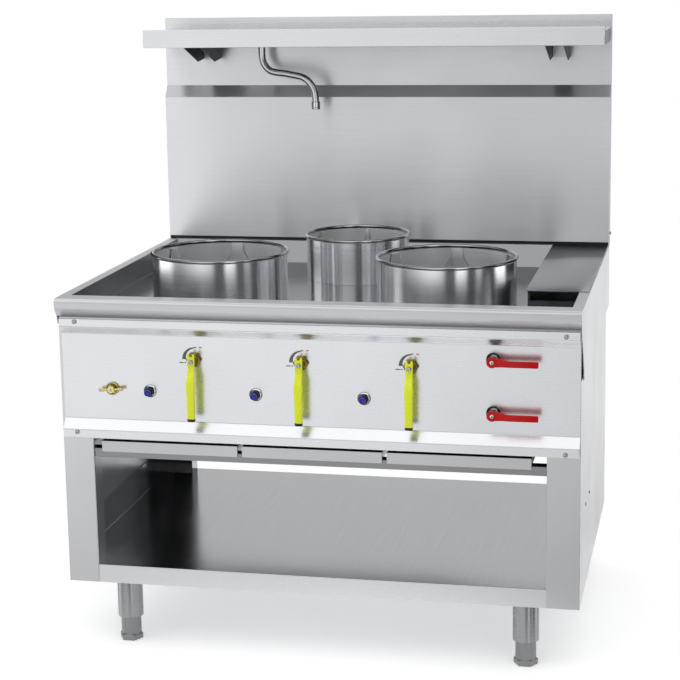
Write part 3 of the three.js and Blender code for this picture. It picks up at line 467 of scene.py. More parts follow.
@dataclass
class Blank:
    """Raw shapes in millimetres that become one mesh."""

    points: list[Vector] = field(default_factory=list)
    faces: list[tuple[int, ...]] = field(default_factory=list)

    def loft(self, loops: Sequence[Sequence[Point]], place: Matrix = HOME,
             closed: bool = False) -> "Blank":
        """Skins a row of loops with the same number of points.

        Args:
            loops: The loops; one of a single point makes a pole.
            place: Where they go.
            closed: Joins the last loop to the first instead of capping both.

        Returns:
            This blank.
        """
        starts = []
        for loop in loops:
            starts.append(len(self.points))
            self.points += [place @ Vector(p) for p in loop]
        pairs = list(zip(range(len(loops)), range(1, len(loops))))
        if closed:
            pairs.append((len(loops) - 1, 0))
        for a, b in pairs:
            count = max(len(loops[a]), len(loops[b]))
            for i in range(count):
                j = (i + 1) % count
                low = [starts[a] + i, starts[a] + j] if len(loops[a]) > 1 else [starts[a]]
                high = [starts[b] + j, starts[b] + i] if len(loops[b]) > 1 else [starts[b]]
                self.faces.append(tuple(low + high))
        if not closed:
            for end in (0, -1):
                if len(loops[end]) > 1:
                    self.faces.append(tuple(starts[end] + i for i in range(len(loops[end]))))
        return self

    def lathe(self, profile: Outline, place: Matrix = HOME,
              steps: int = 48, closed: bool = False) -> "Blank":
        """Turns a profile of (radius, height) round Z.

        Args:
            profile: The profile, from one end on the axis to the other, or a closed outline.
            place: Where it goes.
            steps: Facets round it.
            closed: True for an outline that closes on itself, such as a tube's wall.

        Returns:
            This blank.
        """
        loops: list[list[Point]] = []
        for radius, height in profile:
            if radius < 1e-6:
                loops.append([(0, 0, height)])
            else:
                loops.append([(x, y, height) for x, y in oval(radius, radius, steps)])
        return self.loft(loops, place, closed)

    def tube(self, line: Sequence[Vector], radius: float, place: Matrix = HOME,
             steps: int = 20) -> "Blank":
        """Sweeps a round section along a line.

        Args:
            line: Points of the line.
            radius: The tube's radius.
            place: Where it goes.
            steps: Facets round it.

        Returns:
            This blank.
        """
        loops = []
        side = Vector((0, 0, 0))
        for i, point in enumerate(line):
            ahead = (line[min(i + 1, len(line) - 1)] - line[max(i - 1, 0)]).normalized()
            if i == 0:
                side = ahead.orthogonal().normalized()
            side = (side - ahead * side.dot(ahead)).normalized()
            over = ahead.cross(side)
            loops.append([point + side * u + over * v for u, v in oval(radius, radius, steps)])
        return self.loft(loops, place)

    def slab(self, axis: Axis, outline: Outline, start: float, end: float,
             place: Matrix = HOME) -> "Blank":
        """Pushes a flat outline along an axis; the other two axes take its points in order.

        Args:
            axis: The axis it is pushed along.
            outline: Its corners.
            start: Where it starts on the axis.
            end: Where it ends.
            place: Where it goes.

        Returns:
            This blank.
        """
        loops = []
        for level in (start, end):
            loop = []
            for u, v in outline:
                point = [u, v]
                point.insert(axis.value, level)
                loop.append(tuple(point))
            loops.append(loop)
        return self.loft(loops, place)

    def block(self, low: Point, high: Point, place: Matrix = HOME) -> "Blank":
        """Adds a box between two corners."""
        outline = [(low[0], low[1]), (high[0], low[1]), (high[0], high[1]), (low[0], high[1])]
        return self.slab(Axis.Z, outline, low[2], high[2], place)

    def nut(self, radius: float, levels: Outline, place: Matrix) -> "Blank":
        """Adds a six-sided body with a corner on +X.

        Args:
            radius: Its radius at the corners.
            levels: Heights, each with the share of the radius there.
            place: Where it goes.

        Returns:
            This blank.
        """
        loops = []
        for height, share in levels:
            loops.append([(x * share, y * share, height) for x, y in oval(radius, radius, 6)])
        return self.loft(loops, place)

    def skin(self, axis: Axis, stations: Sequence[tuple[float, ...]], place: Matrix, square: float,
             steps: int = 32) -> "Blank":
        """Skins rounded sections that stand one after another along X or Z.

        Args:
            axis: The axis that they stand along.
            stations: Place on that axis, Y, place on the third axis, half width and half thickness.
            place: Where they go.
            square: 2 for elliptic sections, more for rounded rectangles.
            steps: Points round a section.

        Returns:
            This blank.
        """
        loops = []
        for along, y, over, wide, thick in stations:
            section = [(over + u, y + v) for u, v in oval(wide, thick, steps, square)]
            loops.append([(along, v, u) if axis is Axis.X else (u, v, along) for u, v in section])
        return self.loft(loops, place)

    def mesh(self, name: str, edge: float = 0.0, segments: int = 2) -> Piece:
        """Makes the mesh and its object.

        Args:
            name: The piece's name.
            edge: How far sharp edges are rounded off, in millimetres.
            segments: Facets across a rounded edge.

        Returns:
            The object, at the origin.
        """
        data = bpy.data.meshes.new(name)
        data.from_pydata([p * MM for p in self.points], [], self.faces)
        shape = bmesh.new()
        shape.from_mesh(data)
        bmesh.ops.remove_doubles(shape, verts=shape.verts, dist=1e-6)
        bmesh.ops.recalc_face_normals(shape, faces=shape.faces)
        if edge:
            sharp = [e for e in shape.edges if e.is_manifold and e.calc_face_angle(0.0) > SHARP_ANGLE]
            bmesh.ops.bevel(
                shape, geom=sharp, offset=edge * MM, segments=segments, profile=0.5,
                affect="EDGES", clamp_overlap=True,
            )
        return as_object(shape, data)


def linked(name: str, data: bpy.types.ID) -> Piece:
    """Makes an object of some data and links it to the scene."""
    made = bpy.data.objects.new(name, data)
    bpy.context.scene.collection.objects.link(made)
    return made


def as_object(shape: bmesh.types.BMesh, data: bpy.types.Mesh) -> Piece:
    """Writes a shape to its mesh, smooth but for its sharp edges, and links its object.

    Args:
        shape: The shape, which is freed.
        data: The mesh that takes it.

    Returns:
        The linked object.
    """
    for face in shape.faces:
        face.smooth = True
    shape.to_mesh(data)
    shape.free()
    data.set_sharp_from_angle(angle=SHARP_ANGLE)
    return linked(data.name, data)


def settled(piece: Piece) -> Piece:
    """Turns a piece's live modifiers into its plain mesh.

    Args:
        piece: The piece, whose modifiers are removed.

    Returns:
        The same piece.
    """
    depsgraph = bpy.context.evaluated_depsgraph_get()
    mesh = bpy.data.meshes.new_from_object(piece.evaluated_get(depsgraph), depsgraph=depsgraph)
    piece.modifiers.clear()
    piece.data = mesh
    mesh.name = piece.name
    return piece


def map_grain(piece: Piece, grain: Grain) -> None:
    """Gives a piece a UV map whose U runs across its fine lines, for the stretched highlights.

    Args:
        piece: The piece.
        grain: How its lines run.
    """
    data = piece.data
    layer = data.uv_layers.get("across_grain") or data.uv_layers.new(name="across_grain")
    points = [v.co for v in data.vertices]
    axis = sum(points, Vector()) / len(points)
    for face in data.polygons:
        centre, normal = face.center, face.normal
        if grain.value is None:
            along = Vector((0, 0, 1)).cross(centre - axis)
        elif abs(normal.dot(grain.value)) > 0.9:
            along = grain.value.yzx
        else:
            along = grain.value
        across = normal.cross(along).normalized()
        along = across.cross(normal)
        for corner in face.loop_indices:
            offset = points[data.loops[corner].vertex_index] - centre
            layer.data[corner].uv = (offset.dot(across), offset.dot(along))


def fit(piece: Piece, finish: Finish, *nodes: str, body: str = "range",
        slot: str = "brushed_steel") -> None:
    """Finishes a piece and gives it to its body.

    Args:
        piece: The piece.
        finish: Its finish.
        *nodes: CAD nodes that it replaces.
        body: The CAD body that it rides on.
        slot: The record's material slot; not used.
    """
    piece.data.materials.clear()
    piece.data.materials.append(finish.material())
    if finish.stretch and finish.grain:
        map_grain(piece, finish.grain)
    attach(piece, body)
    if nodes:
        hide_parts(*nodes)
    log.info("%s: %d faces on %s", piece.name, len(piece.data.polygons), body)


def mark(piece: Piece, finish: Finish, rule: Callable[[Vector, Vector], bool]) -> None:
    """Gives some of a fitted piece's faces another finish.

    Args:
        piece: The piece.
        finish: The faces' finish.
        rule: Tells by a face's centre, in millimetres, and its normal whether it gets the finish.
    """
    piece.data.materials.append(finish.material())
    for face in piece.data.polygons:
        if rule(face.center / MM, face.normal):
            face.material_index = len(piece.data.materials) - 1


def fold_sheet(node: str, finish: Finish, body: str = "range") -> Piece:
    """Dresses a sheet-metal node with its copy, whose folds between broad faces are rounded.

    Args:
        node: The CAD node.
        finish: The sheet's finish.
        body: The body that it rides on.

    Returns:
        The fitted piece.
    """
    broad, radius = 5 * MM, 2.2 * MM
    data = bpy.data.meshes.new(f"{node}_sheet")
    shape = bmesh.new()
    shape.from_mesh(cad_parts[node].data)
    bmesh.ops.remove_doubles(shape, verts=shape.verts, dist=1e-5)
    bmesh.ops.dissolve_limit(
        shape, angle_limit=math.radians(0.5), use_dissolve_boundaries=False,
        verts=shape.verts, edges=shape.edges,
    )
    weights = shape.edges.layers.float.new("bevel_weight_edge")
    for edge in shape.edges:
        if not edge.is_manifold or edge.calc_face_angle(0.0) < math.radians(20):
            continue
        widths = [f.calc_area() / max(e.calc_length() for e in f.edges) for f in edge.link_faces]
        edge[weights] = 1.0 if min(widths) > broad else 0.0
    piece = as_object(shape, data)
    bevel = piece.modifiers.new("folds", "BEVEL")
    bevel.limit_method = "WEIGHT"
    bevel.width = radius
    bevel.segments = 3
    weighted = piece.modifiers.new("flat_faces", "WEIGHTED_NORMAL")
    weighted.weight = 100
    weighted.keep_sharp = True
    fit(settled(piece), finish, node, body=body)
    return piece


def round_node(node: str) -> tuple[Matrix, float, float, float]:
    """Measures a round CAD node in millimetres.

    Args:
        node: The node.

    Returns:
        The move to its axis on the floor, its radius, and the heights of its foot and its top.
    """
    low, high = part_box(node)
    spot = (low + high) / 2 / MM
    return Matrix.Translation((spot.x, spot.y, 0)), (high.x - low.x) / 2 / MM, low.z / MM, high.z / MM


# ---------------------------------------------------------------- sub-assemblies


@dataclass
class Cabinet:
    """The open cabinet: folded sides, the floor and the burner compartment's rear panel."""

    # Each sheet's finish, then the painted shade that its forward-looking faces at the back get.
    sheets: dict[str, tuple[Finish, Finish | None]] = field(default_factory=lambda: {
        "side_panel_left": (SIDE_STEEL, PAINTED_SHADE_DEEP),
        "side_panel_right": (SIDE_STEEL, PAINTED_SHADE_DEEP),
        "cabinet_floor": (FLOOR_STEEL, None),
        "rear_panel": (PANEL_STEEL, PAINTED_SHADE_DIM),
    })
    rear: float = 300.0  # faces behind this that look forward are in the shade

    def build(self) -> None:
        """Folds and dresses the cabinet's sheets and sets the studs in its right side."""
        for node, (finish, shade) in self.sheets.items():
            sheet = fold_sheet(node, finish)
            # Painted shade: forward-looking faces behind the rear line take the darker finish.
            if shade:
                mark(sheet, shade, lambda centre, normal: centre.y > self.rear and normal.y < -0.5)
        right = (1, 0, 0)
        # The side's screw holes are drawn as black heads: painted shade in the holes.
        Studs("side_holes", 4.2, 0.8, bore=0.9).set_at(
            ((598.2, 284, 351), (598.2, 181, 353.5)), right, BLACK, "brushed_steel")
        Studs("side_screws", 4.6, 2.4).set_at(((598.8, 69, 676),), right, ZINC)
        Studs("wall_bolts", 4.6, 4.0, 6).set_at(((600.4, 905, 869),), right, ZINC)


@dataclass
class Legs:
    """Four leg tubes with their plates, and the feet that screw out of them."""

    radius: float = 30.0
    wall: float = 5.5
    tube_foot: float = 58.0
    tube_ease: float = 0.8
    plate_top: float = 199.0
    plate_thickness: float = 4.0
    plate_half: float = 45.0
    stem_radius: float = 24.0
    stem_top: float = 110.0
    hex_radius: float = 28.0
    hex_height: float = 14.0
    hex_chamfer: float = 1.6

    def leg(self, name: str, place: Matrix) -> None:
        """Builds one tube with its plate."""
        foot, eased = self.tube_foot, self.tube_foot + self.tube_ease
        cap = self.plate_top - self.plate_thickness
        bore = self.radius - self.wall
        tube = Blank().lathe([
            (bore, eased), (bore + self.tube_ease, foot), (self.radius - self.tube_ease, foot),
            (self.radius, eased), (self.radius, cap), (0, cap),
            (0, cap - self.plate_thickness), (bore, cap - self.plate_thickness),
        ], place, closed=True)
        tube.slab(Axis.Z, oval(self.plate_half, self.plate_half, 32, 9.0), cap, self.plate_top, place)
        fit(tube.mesh(f"{name}_tube"), TUBE_STEEL, name)

    def foot(self, name: str, place: Matrix) -> None:
        """Builds one foot: a chamfered hexagon under a threaded stem."""
        high, ease = self.hex_height, self.hex_chamfer
        levels = ((0, 0.94), (ease, 1), (high - ease, 1), (high, 0.94))
        body = Blank().nut(self.hex_radius, levels, place)
        r, low, top = self.stem_radius, high - 1, self.stem_top
        body.lathe([
            (0, low), (r - 0.6, low), (r, low + 2), (r - 0.4, top - 2), (r - 2.4, top), (0, top),
        ], place)
        fit(body.mesh(f"{name}_stem"), FOOT_STEEL, name, body=name)

    def build(self) -> None:
        """Builds the four legs and feet."""
        for end in ("front", "rear"):
            for hand in ("left", "right"):
                place = round_node(f"leg_{end}_{hand}")[0]
                self.leg(f"leg_{end}_{hand}", place)
                self.foot(f"foot_{end}_{hand}", place)


@dataclass
class Worktop:
    """The sunk worktop, the gutter under its cover, the strainer and the drain pipe."""

    rim_z: float = 836.0
    rim_front: float = 40.0
    rim_side: float = 596.0
    flange: float = 9.0  # how far the strainer's and the drain's flanges stand out

    def sunk(self, centre: Vector) -> bool:
        """Tells whether a face lies inside the rim."""
        inside = centre.y > FRONT_EDGE_Y + self.rim_front and abs(centre.x) < self.rim_side
        return inside and centre.z < self.rim_z

    def shaded(self, centre: Vector, normal: Vector) -> bool:
        """Tells whether a face is the rear slope or the left lip's inner slope; these get painted
        shade.
        """
        slope = centre.y > 300 and normal.y < -0.3 or centre.x < -400 and normal.x > 0.3
        return slope and self.sunk(centre)

    def build(self) -> None:
        """Folds and dresses the worktop's pieces."""
        sheet = fold_sheet("worktop", RIM_STEEL)
        # Painted shade: the sunk deck is drawn darker than the rim, and its rear and left slopes darker
        # still.
        mark(sheet, DECK_PAINTED_SHADE, lambda centre, normal: self.sunk(centre))
        mark(sheet, SIDE_STEEL, lambda centre, normal: normal.x > 0.7 and not self.sunk(centre))
        mark(sheet, PAINTED_SHADE_DIM, self.shaded)
        for name, low, high, edge, finish in (
            # The backsplash seal is black partly as a seal and partly as painted shade in the gap under
            # the wall.
            ("backsplash_seal", (-597, 892, 838), (597, 902, 846), 1.0, BLACK),
            ("panel_head_strip", (-590, 2.5, 792.1), (597, 15.5, 795.9), 0.6, RIM_STEEL),
        ):
            fit(Blank().block(low, high, FROM_EDGE).mesh(name, edge), finish)
        fold_sheet("gutter_box", DECK_PAINTED_SHADE)
        low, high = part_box("gutter_cover")
        cover = Blank().block(low / MM, high / MM)
        fit(cover.mesh("gutter_cover_plate", 0.7), DECK_PAINTED_SHADE, "gutter_cover", body="gutter_cover")
        self.strainer()
        self.drain()

    def strainer(self) -> None:
        """Turns the strainer basket."""
        place, lip, foot, top = round_node("drain_strainer")
        r = lip - self.flange
        basket = Blank().lathe([
            (0, foot), (r - 1, foot), (r, foot + 1), (r, top - 2), (lip, top - 2), (lip, top - 0.8),
            (lip - 0.8, top), (r - 1, top), (r - 2, top - 1), (r - 2, foot + 2), (0, foot + 2),
        ], place, 40)
        fit(basket.mesh("drain_strainer_basket"), RING_STEEL, "drain_strainer", body="drain_strainer",
            slot="polished_steel")

    def drain(self) -> None:
        """Turns the drain pipe with its flange."""
        place, lip, foot, top = round_node("drain_pipe")
        bore = lip - self.flange
        pipe = Blank().lathe([
            (bore, foot), (bore + 2, foot), (bore + 2, top - 4), (lip, top - 4), (lip, top),
            (bore, top),
        ], place, 40, closed=True)
        fit(pipe.mesh("drain_pipe_tube"), TUBE_STEEL, "drain_pipe")


@dataclass
class WokRing:
    """A lift-off collar with its rolled rim and the scalloped liner inside it."""

    name: str
    height: float = 115.0
    wire: float = 4.6
    overhang: float = 4.0  # how far the CAD rim stands out from the collar
    sheet: float = 2.0
    gap: float = 0.3
    liner_slope: float = 12.0
    liner_drop: float = 12.0
    liner_wall: float = 3.0
    liner_rows: int = 7
    notches: int = 6
    notch_depth: float = 66.0
    notch_share: float = 0.84
    steps: int = 144

    def build(self) -> None:
        """Builds the collar and the liner."""
        axis, rim, foot, _ = round_node(f"wok_ring_{self.name}")
        place = axis @ Matrix.Translation((0, 0, foot))
        self.collar(rim - self.overhang, place)
        self.liner(rim - self.overhang, place)

    def collar(self, radius: float, place: Matrix) -> None:
        """Turns the collar with its rolled rim.

        Args:
            radius: The collar's radius.
            place: Its centre on the deck.
        """
        node, body, slot = f"wok_ring_{self.name}", f"ring_{self.name}", "polished_steel"
        centre = self.height - self.wire
        end = 180 + math.degrees(math.acos(self.sheet / self.wire))
        roll = []
        for i in range(15):
            angle = math.radians(-90 + i * (end + 90) / 14)
            roll.append((radius + self.wire * math.cos(angle), centre + self.wire * math.sin(angle)))
        low, high = 0.5, centre - self.wire + 0.4
        inner = radius - self.sheet
        wall = [(inner, low), (inner + low, 0), (radius - low, 0), (radius, low), (radius, high),
                (inner, high)]
        collar = Blank().lathe(wall, place, self.steps, closed=True).mesh(f"{node}_collar")
        fit(collar, RING_STEEL, node, body=body, slot=slot)
        axis = place.translation.xy
        mark(collar, INSIDE_STEEL, lambda centre, normal: normal.xy.dot(centre.xy - axis) < 0)
        rim = Blank().lathe([(inner, centre - self.wire - 0.4), *roll], place, self.steps, closed=True)
        fit(rim.mesh(f"{node}_rim"), WIRE_CHROME, body=body, slot=slot)

    def liner(self, radius: float, place: Matrix) -> None:
        """Builds the tapered band whose top edge is scalloped.

        Args:
            radius: The collar's radius.
            place: Its centre on the deck.
        """
        top = self.height - self.liner_drop
        outer_top = radius - self.sheet - self.gap
        width = self.notch_share * 2 * math.pi * radius / self.notches
        notch = min(width / 2, self.notch_depth)
        centre = top - self.notch_depth + notch
        half = math.asin(min(notch / (outer_top - self.liner_slope / 2), 1.0))
        pitch = 2 * math.pi / self.notches
        angles, tops = [], []
        for k in range(self.notches):
            for i in range(33):
                turn = math.pi * (i / 32 - 0.5)
                angles.append(k * pitch + half * math.sin(turn))
                tops.append(centre - notch * math.cos(turn))
            for i in range(1, 6):
                angles.append(k * pitch + half + (pitch - 2 * half) * i / 6)
                tops.append(top)
        loops: list[list[Point]] = []
        rows = range(self.liner_rows)
        for wall, order in ((0.0, rows), (self.liner_wall, reversed(rows))):
            for row in order:
                loop = []
                for angle, high in zip(angles, tops):
                    z = high * row / (self.liner_rows - 1)
                    r = outer_top - self.liner_slope * (1 - z / top) - wall
                    loop.append((r * math.cos(angle), r * math.sin(angle), z))
                loops.append(loop)
        band = Blank().loft(loops, place, closed=True)
        node = f"ring_liner_{self.name}"
        fit(band.mesh(f"{node}_band"), LINER_STEEL, node, body=f"ring_{self.name}",
            slot="polished_steel")


@dataclass
class Burner:
    """A cast burner head in its fire chamber, under one of the deck's openings."""

    name: str
    hub: float = 46.0  # radius of the chamber's hole for the burner
    lip: float = 9.0
    wall: float = 3.0

    def build(self) -> None:
        """Builds the chamber and dresses the burner."""
        node = f"fire_chamber_{self.name}"
        place, flange, foot, top = round_node(node)
        outer, inner = flange - self.lip, flange - self.lip - self.wall
        chamber = Blank().lathe([
            (self.hub, foot), (outer - 4, foot), (outer, foot + 4), (outer, top - 3), (flange, top - 3),
            (flange, top), (inner + 1, top), (inner, top - 1), (inner, foot + 6), (inner - 3, foot + 3),
            (self.hub, foot + 3),
        ], place, 72, closed=True)
        fit(chamber.mesh(f"{node}_casting"), IRON, node, slot="cast_iron")
        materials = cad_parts[f"burner_{self.name}"].data.materials
        materials.clear()
        materials.append(IRON.material())


@dataclass
class Studs:
    """Turned heads with a socket, set at points by Geometry Nodes: screws, bolts and screw holes."""

    name: str
    radius: float
    height: float
    sides: int = 18
    bore: float = 0.5

    def tree(self) -> bpy.types.GeometryNodeTree:
        """Returns the node tree that turns points with a facing into heads."""
        known = bpy.data.node_groups.get("turned_studs")
        if known:
            return known
        made = bpy.data.node_groups.new("turned_studs", "GeometryNodeTree")
        for name, kind in (("Points", "Geometry"), ("Radius", "Float"), ("Height", "Float"),
                           ("Sides", "Int"), ("Bore", "Float"), ("Finish", "Material")):
            made.interface.new_socket(name=name, in_out="INPUT", socket_type=f"NodeSocket{kind}")
        made.interface.new_socket(name="Heads", in_out="OUTPUT", socket_type="NodeSocketGeometry")
        given = add_node(made, "NodeGroupInput").outputs
        shank = add_node(made, "GeometryNodeMeshCylinder", {
            "Vertices": given["Sides"], "Radius": given["Radius"], "Depth": given["Height"],
        }, fill_type="NGON")
        crown = add_node(made, "ShaderNodeMath", {0: given["Height"], 1: 0.35}, operation="MULTIPLY")
        sink = add_node(made, "ShaderNodeMath", {0: given["Height"], 1: -0.7}, operation="MULTIPLY")
        shape, top = shank.outputs["Mesh"], shank.outputs["Top"]
        for push, share in ((crown.outputs[0], 0.78), (0.0, given["Bore"]), (sink.outputs[0], 1.0)):
            pushed = add_node(made, "GeometryNodeExtrudeMesh", {
                "Mesh": shape, "Selection": top, "Offset Scale": push, "Individual": False,
            })
            scaled = add_node(made, "GeometryNodeScaleElements", {
                "Geometry": pushed.outputs["Mesh"], "Selection": pushed.outputs["Top"], "Scale": share,
            })
            shape, top = scaled.outputs["Geometry"], pushed.outputs["Top"]
        facing = add_node(made, "GeometryNodeInputNamedAttribute", {"Name": "facing"},
                          data_type="FLOAT_VECTOR")
        turn = add_node(made, "FunctionNodeAlignRotationToVector",
                        {"Vector": facing.outputs["Attribute"]}, axis="Z")
        placed = add_node(made, "GeometryNodeInstanceOnPoints", {
            "Points": given["Points"], "Instance": shape, "Rotation": turn.outputs["Rotation"],
        })
        real = add_node(made, "GeometryNodeRealizeInstances", {"Geometry": placed.outputs["Instances"]})
        dressed = add_node(made, "GeometryNodeSetMaterial", {
            "Geometry": real.outputs["Geometry"], "Material": given["Finish"],
        })
        add_node(made, "NodeGroupOutput", {"Heads": dressed.outputs["Geometry"]})
        return made

    def set_at(self, spots: Sequence[Point], toward: Point, finish: Finish,
               slot: str = "polished_steel") -> None:
        """Sets a head at each spot.

        Args:
            spots: Places in millimetres from the worktop's front edge.
            toward: The way that the heads face.
            finish: The heads' finish.
            slot: The record's slot.
        """
        data = bpy.data.meshes.new(self.name)
        data.from_pydata([at(*spot).translation * MM for spot in spots], [], [])
        facing = data.attributes.new("facing", "FLOAT_VECTOR", "POINT")
        for value in facing.data:
            value.vector = toward
        piece = linked(self.name, data)
        nodes = piece.modifiers.new("heads", "NODES")
        nodes.node_group = self.tree()
        values = {"Radius": self.radius * MM, "Height": self.height * MM, "Sides": self.sides,
                  "Bore": self.bore, "Finish": finish.material()}
        for item in nodes.node_group.interface.items_tree:
            if item.name in values:
                nodes[item.identifier] = values[item.name]
        settled(piece).data.set_sharp_from_angle(angle=SHARP_ANGLE)
        fit(piece, finish, slot=slot)


@dataclass
class ControlPanel:
    """The folded control panel with its corner screws and the dials printed behind the levers."""

    corners: tuple[tuple[float, float], ...] = ((-552, 786), (-556, 526.5), (567, 782), (566, 518.5))
    dial_inner: float = 18.5
    dial_thin: float = 25.5
    dial_outer: float = 28.0
    dial_sweep: float = 92.0
    dial_steps: int = 24
    print_depth: tuple[float, float] = (PANEL_FACE - 0.12, PANEL_FACE + 0.5)

    def build(self) -> None:
        """Folds and dresses the panel, its screws and its dials."""
        fold_sheet("control_panel", PANEL_STEEL)
        spots = [(x, -1.0, z) for x, z in self.corners]
        Studs("panel_screws", 5.6, 2.2).set_at(spots, (0, -1, 0), ZINC)
        printed, marks = Blank(), Blank()
        for bay in GAS_XS:
            self.wedge(printed, bay)
            for x, z, wide in ((-30, -8, 5), (-21, -8, 2), (3, 28, 2.5)):
                self.stroke(printed, bay + x, GAS_Z + z, wide)
            self.stroke(marks, bay + 15, GAS_Z + 28, 3)
        fit(printed.mesh("dial_prints"), INK)
        fit(marks.mesh("dial_open_marks"), RED_INK, slot="red_sleeve")

    def stroke(self, blank: Blank, x: float, z: float, wide: float) -> None:
        """Prints a plain stroke of 2.4 mm height, and of twice the given width, round a place."""
        front, rear = self.print_depth
        blank.block((x - wide, front, z - 1.2), (x + wide, rear, z + 1.2), FROM_EDGE)

    def wedge(self, blank: Blank, bay: float) -> None:
        """Prints a wedge that thins from the shut mark to the open mark."""
        low, high = [], []
        for i in range(self.dial_steps + 1):
            share = i / self.dial_steps
            angle = math.radians(180 - self.dial_sweep * share)
            inner = self.dial_inner + (self.dial_thin - self.dial_inner) * share
            for edge, r in ((low, inner), (high, self.dial_outer)):
                edge.append((bay + r * math.cos(angle), GAS_Z + r * math.sin(angle)))
        for i in range(self.dial_steps):
            blank.slab(Axis.Y, [low[i], low[i + 1], high[i + 1], high[i]], *self.print_depth, FROM_EDGE)


@dataclass
class GasControl:
    """A brass gas valve, the yellow lever that hangs from its stem, and the igniter beside it."""

    name: str
    x: float
    bonnet: float = 12.0
    nut: float = 18.0
    jet_z: float = 609.0
    igniter_offset: float = -107.0
    igniter_z: float = 625.3
    button: float = 7.5
    play: float = 0.4  # between the button and its barrel

    def build(self) -> None:
        """Builds the valve, the lever and the igniter."""
        self.valve()
        self.lever()
        self.igniter()

    def valve(self) -> None:
        """Builds the brass valve: body and outlet behind the panel, nut and bonnet in front."""
        place = at(self.x, PANEL_FACE, GAS_Z)
        out = place @ TO_COOK
        half, drop, wide = GAS_BODY, self.jet_z - GAS_Z, self.bonnet
        body = Blank().block((-half, 2, -half), (half, 46, half), place)
        body.nut(self.nut, ((0, 1), (6.4, 1), (8, 0.9)), out)
        stem = PANEL_FACE - STEM_FRONT
        body.lathe([
            (0, -3), (wide, -3), (wide, 10), (wide - 1.5, 11), (wide - 1.5, 13), (wide, 14),
            (wide - 2, 18), (5.2, 18), (5.0, stem - 0.6), (4.4, stem), (0, stem),
        ], out, 40)
        body.tube(bent([(0, 24, 0), (0, 24, drop), (0, 73, drop)], 12), 8, place)
        node = f"gas_valve_{self.name}"
        fit(body.mesh(f"{node}_body", 0.5), BRASS, node, slot="brass")

    def lever(self) -> None:
        """Builds the dipped lever, its black end cap and its screw."""
        rider = f"gas_lever_{self.name}"
        place = at(self.x, STEM_FRONT - 0.3, GAS_Z)
        head = [(-8.0, 17), (-4.4, 18), (-3.4, 12), (0, 10.4), (3.4, 12), (4.4, 18), (8.0, 17),
                (8.8, 8), (8.2, -16), (-8.2, -16), (-8.8, 8)]
        grip_y, square = -11.5, 4.0
        stations = [
            (-13, -2.1, 0, 7.8, 1.9), (-20, -2.3, 0, 8.0, 2.1), (-26, -4.2, 0, 8.2, 2.4),
            (-35, -8.0, 0, 8.6, 2.9), (-43, -10.8, 0, 9.2, 3.6), (-47, -11.4, 0, 10.4, 4.2),
            (-52, grip_y, 0, 10.3, 4.4), (-68, grip_y, 0, 9.6, 4.5), (-96, grip_y, 0, 9.0, 4.5),
            (-131, grip_y, 0, 8.8, 4.5),
        ]
        blade = Blank().slab(Axis.Y, head, -4.2, 0, place).skin(Axis.Z, stations, place, square)
        fit(blade.mesh(f"{rider}_sleeve", 1.0, 3), YELLOW, rider, body=rider, slot="yellow_sleeve")
        ends = ((-130, 1.0), (-133.5, 1.0), (-135.6, 0.93), (-136.7, 0.75), (-137, 0.5))
        cap = Blank().skin(Axis.Z, [(z, grip_y, 0, 9.0 * s, 4.6 * s) for z, s in ends], place, square)
        fit(cap.mesh(f"{rider}_cap"), BLACK, body=rider, slot="yellow_sleeve")
        screw = Blank().lathe([
            (0, 3), (6.2, 3), (6.2, 5.4), (4.8, 5.4), (4.8, 7.6), (4.0, 8.6), (2.6, 8.6), (2.3, 6.8),
            (0, 6.8),
        ], place @ TO_COOK, 24)
        fit(screw.mesh(f"{rider}_screw"), ZINC, body=rider, slot="chrome")

    def igniter(self) -> None:
        """Builds the igniter's bezel and barrel, its black collar and the blue button."""
        node, rider = f"igniter_{self.name}", f"igniter_button_{self.name}"
        out = at(self.x + self.igniter_offset, PANEL_FACE, self.igniter_z) @ TO_COOK
        r, bore = self.button, self.button + self.play
        bezel = Blank().lathe([
            (bore, -48), (10, -48), (10, 0), (15, 0), (15, 1.6), (13.8, 3.2), (11.8, 4), (10.4, 3.6),
            (9.8, 2.4), (bore, 2.4),
        ], out, closed=True)
        fit(bezel.mesh(f"{node}_bezel"), CHROME, node, slot="chrome")
        collar = Blank().lathe([
            (bore, 2), (9.5, 2), (9.5, 14.2), (8.9, 15), (bore + 0.4, 15), (bore, 14.6),
        ], out, 40, closed=True)
        fit(collar.mesh(f"{node}_collar"), BLACK, slot="chrome")
        knob = Blank().lathe([
            (0, -28), (r, -28), (r, 23), (r - 0.5, 24.4), (r - 1.4, 25), (r - 2.6, 24.5), (0, 23.9),
        ], out, 40)
        fit(knob.mesh(f"{rider}_cap"), BLUE, rider, body=rider, slot="blue_button")


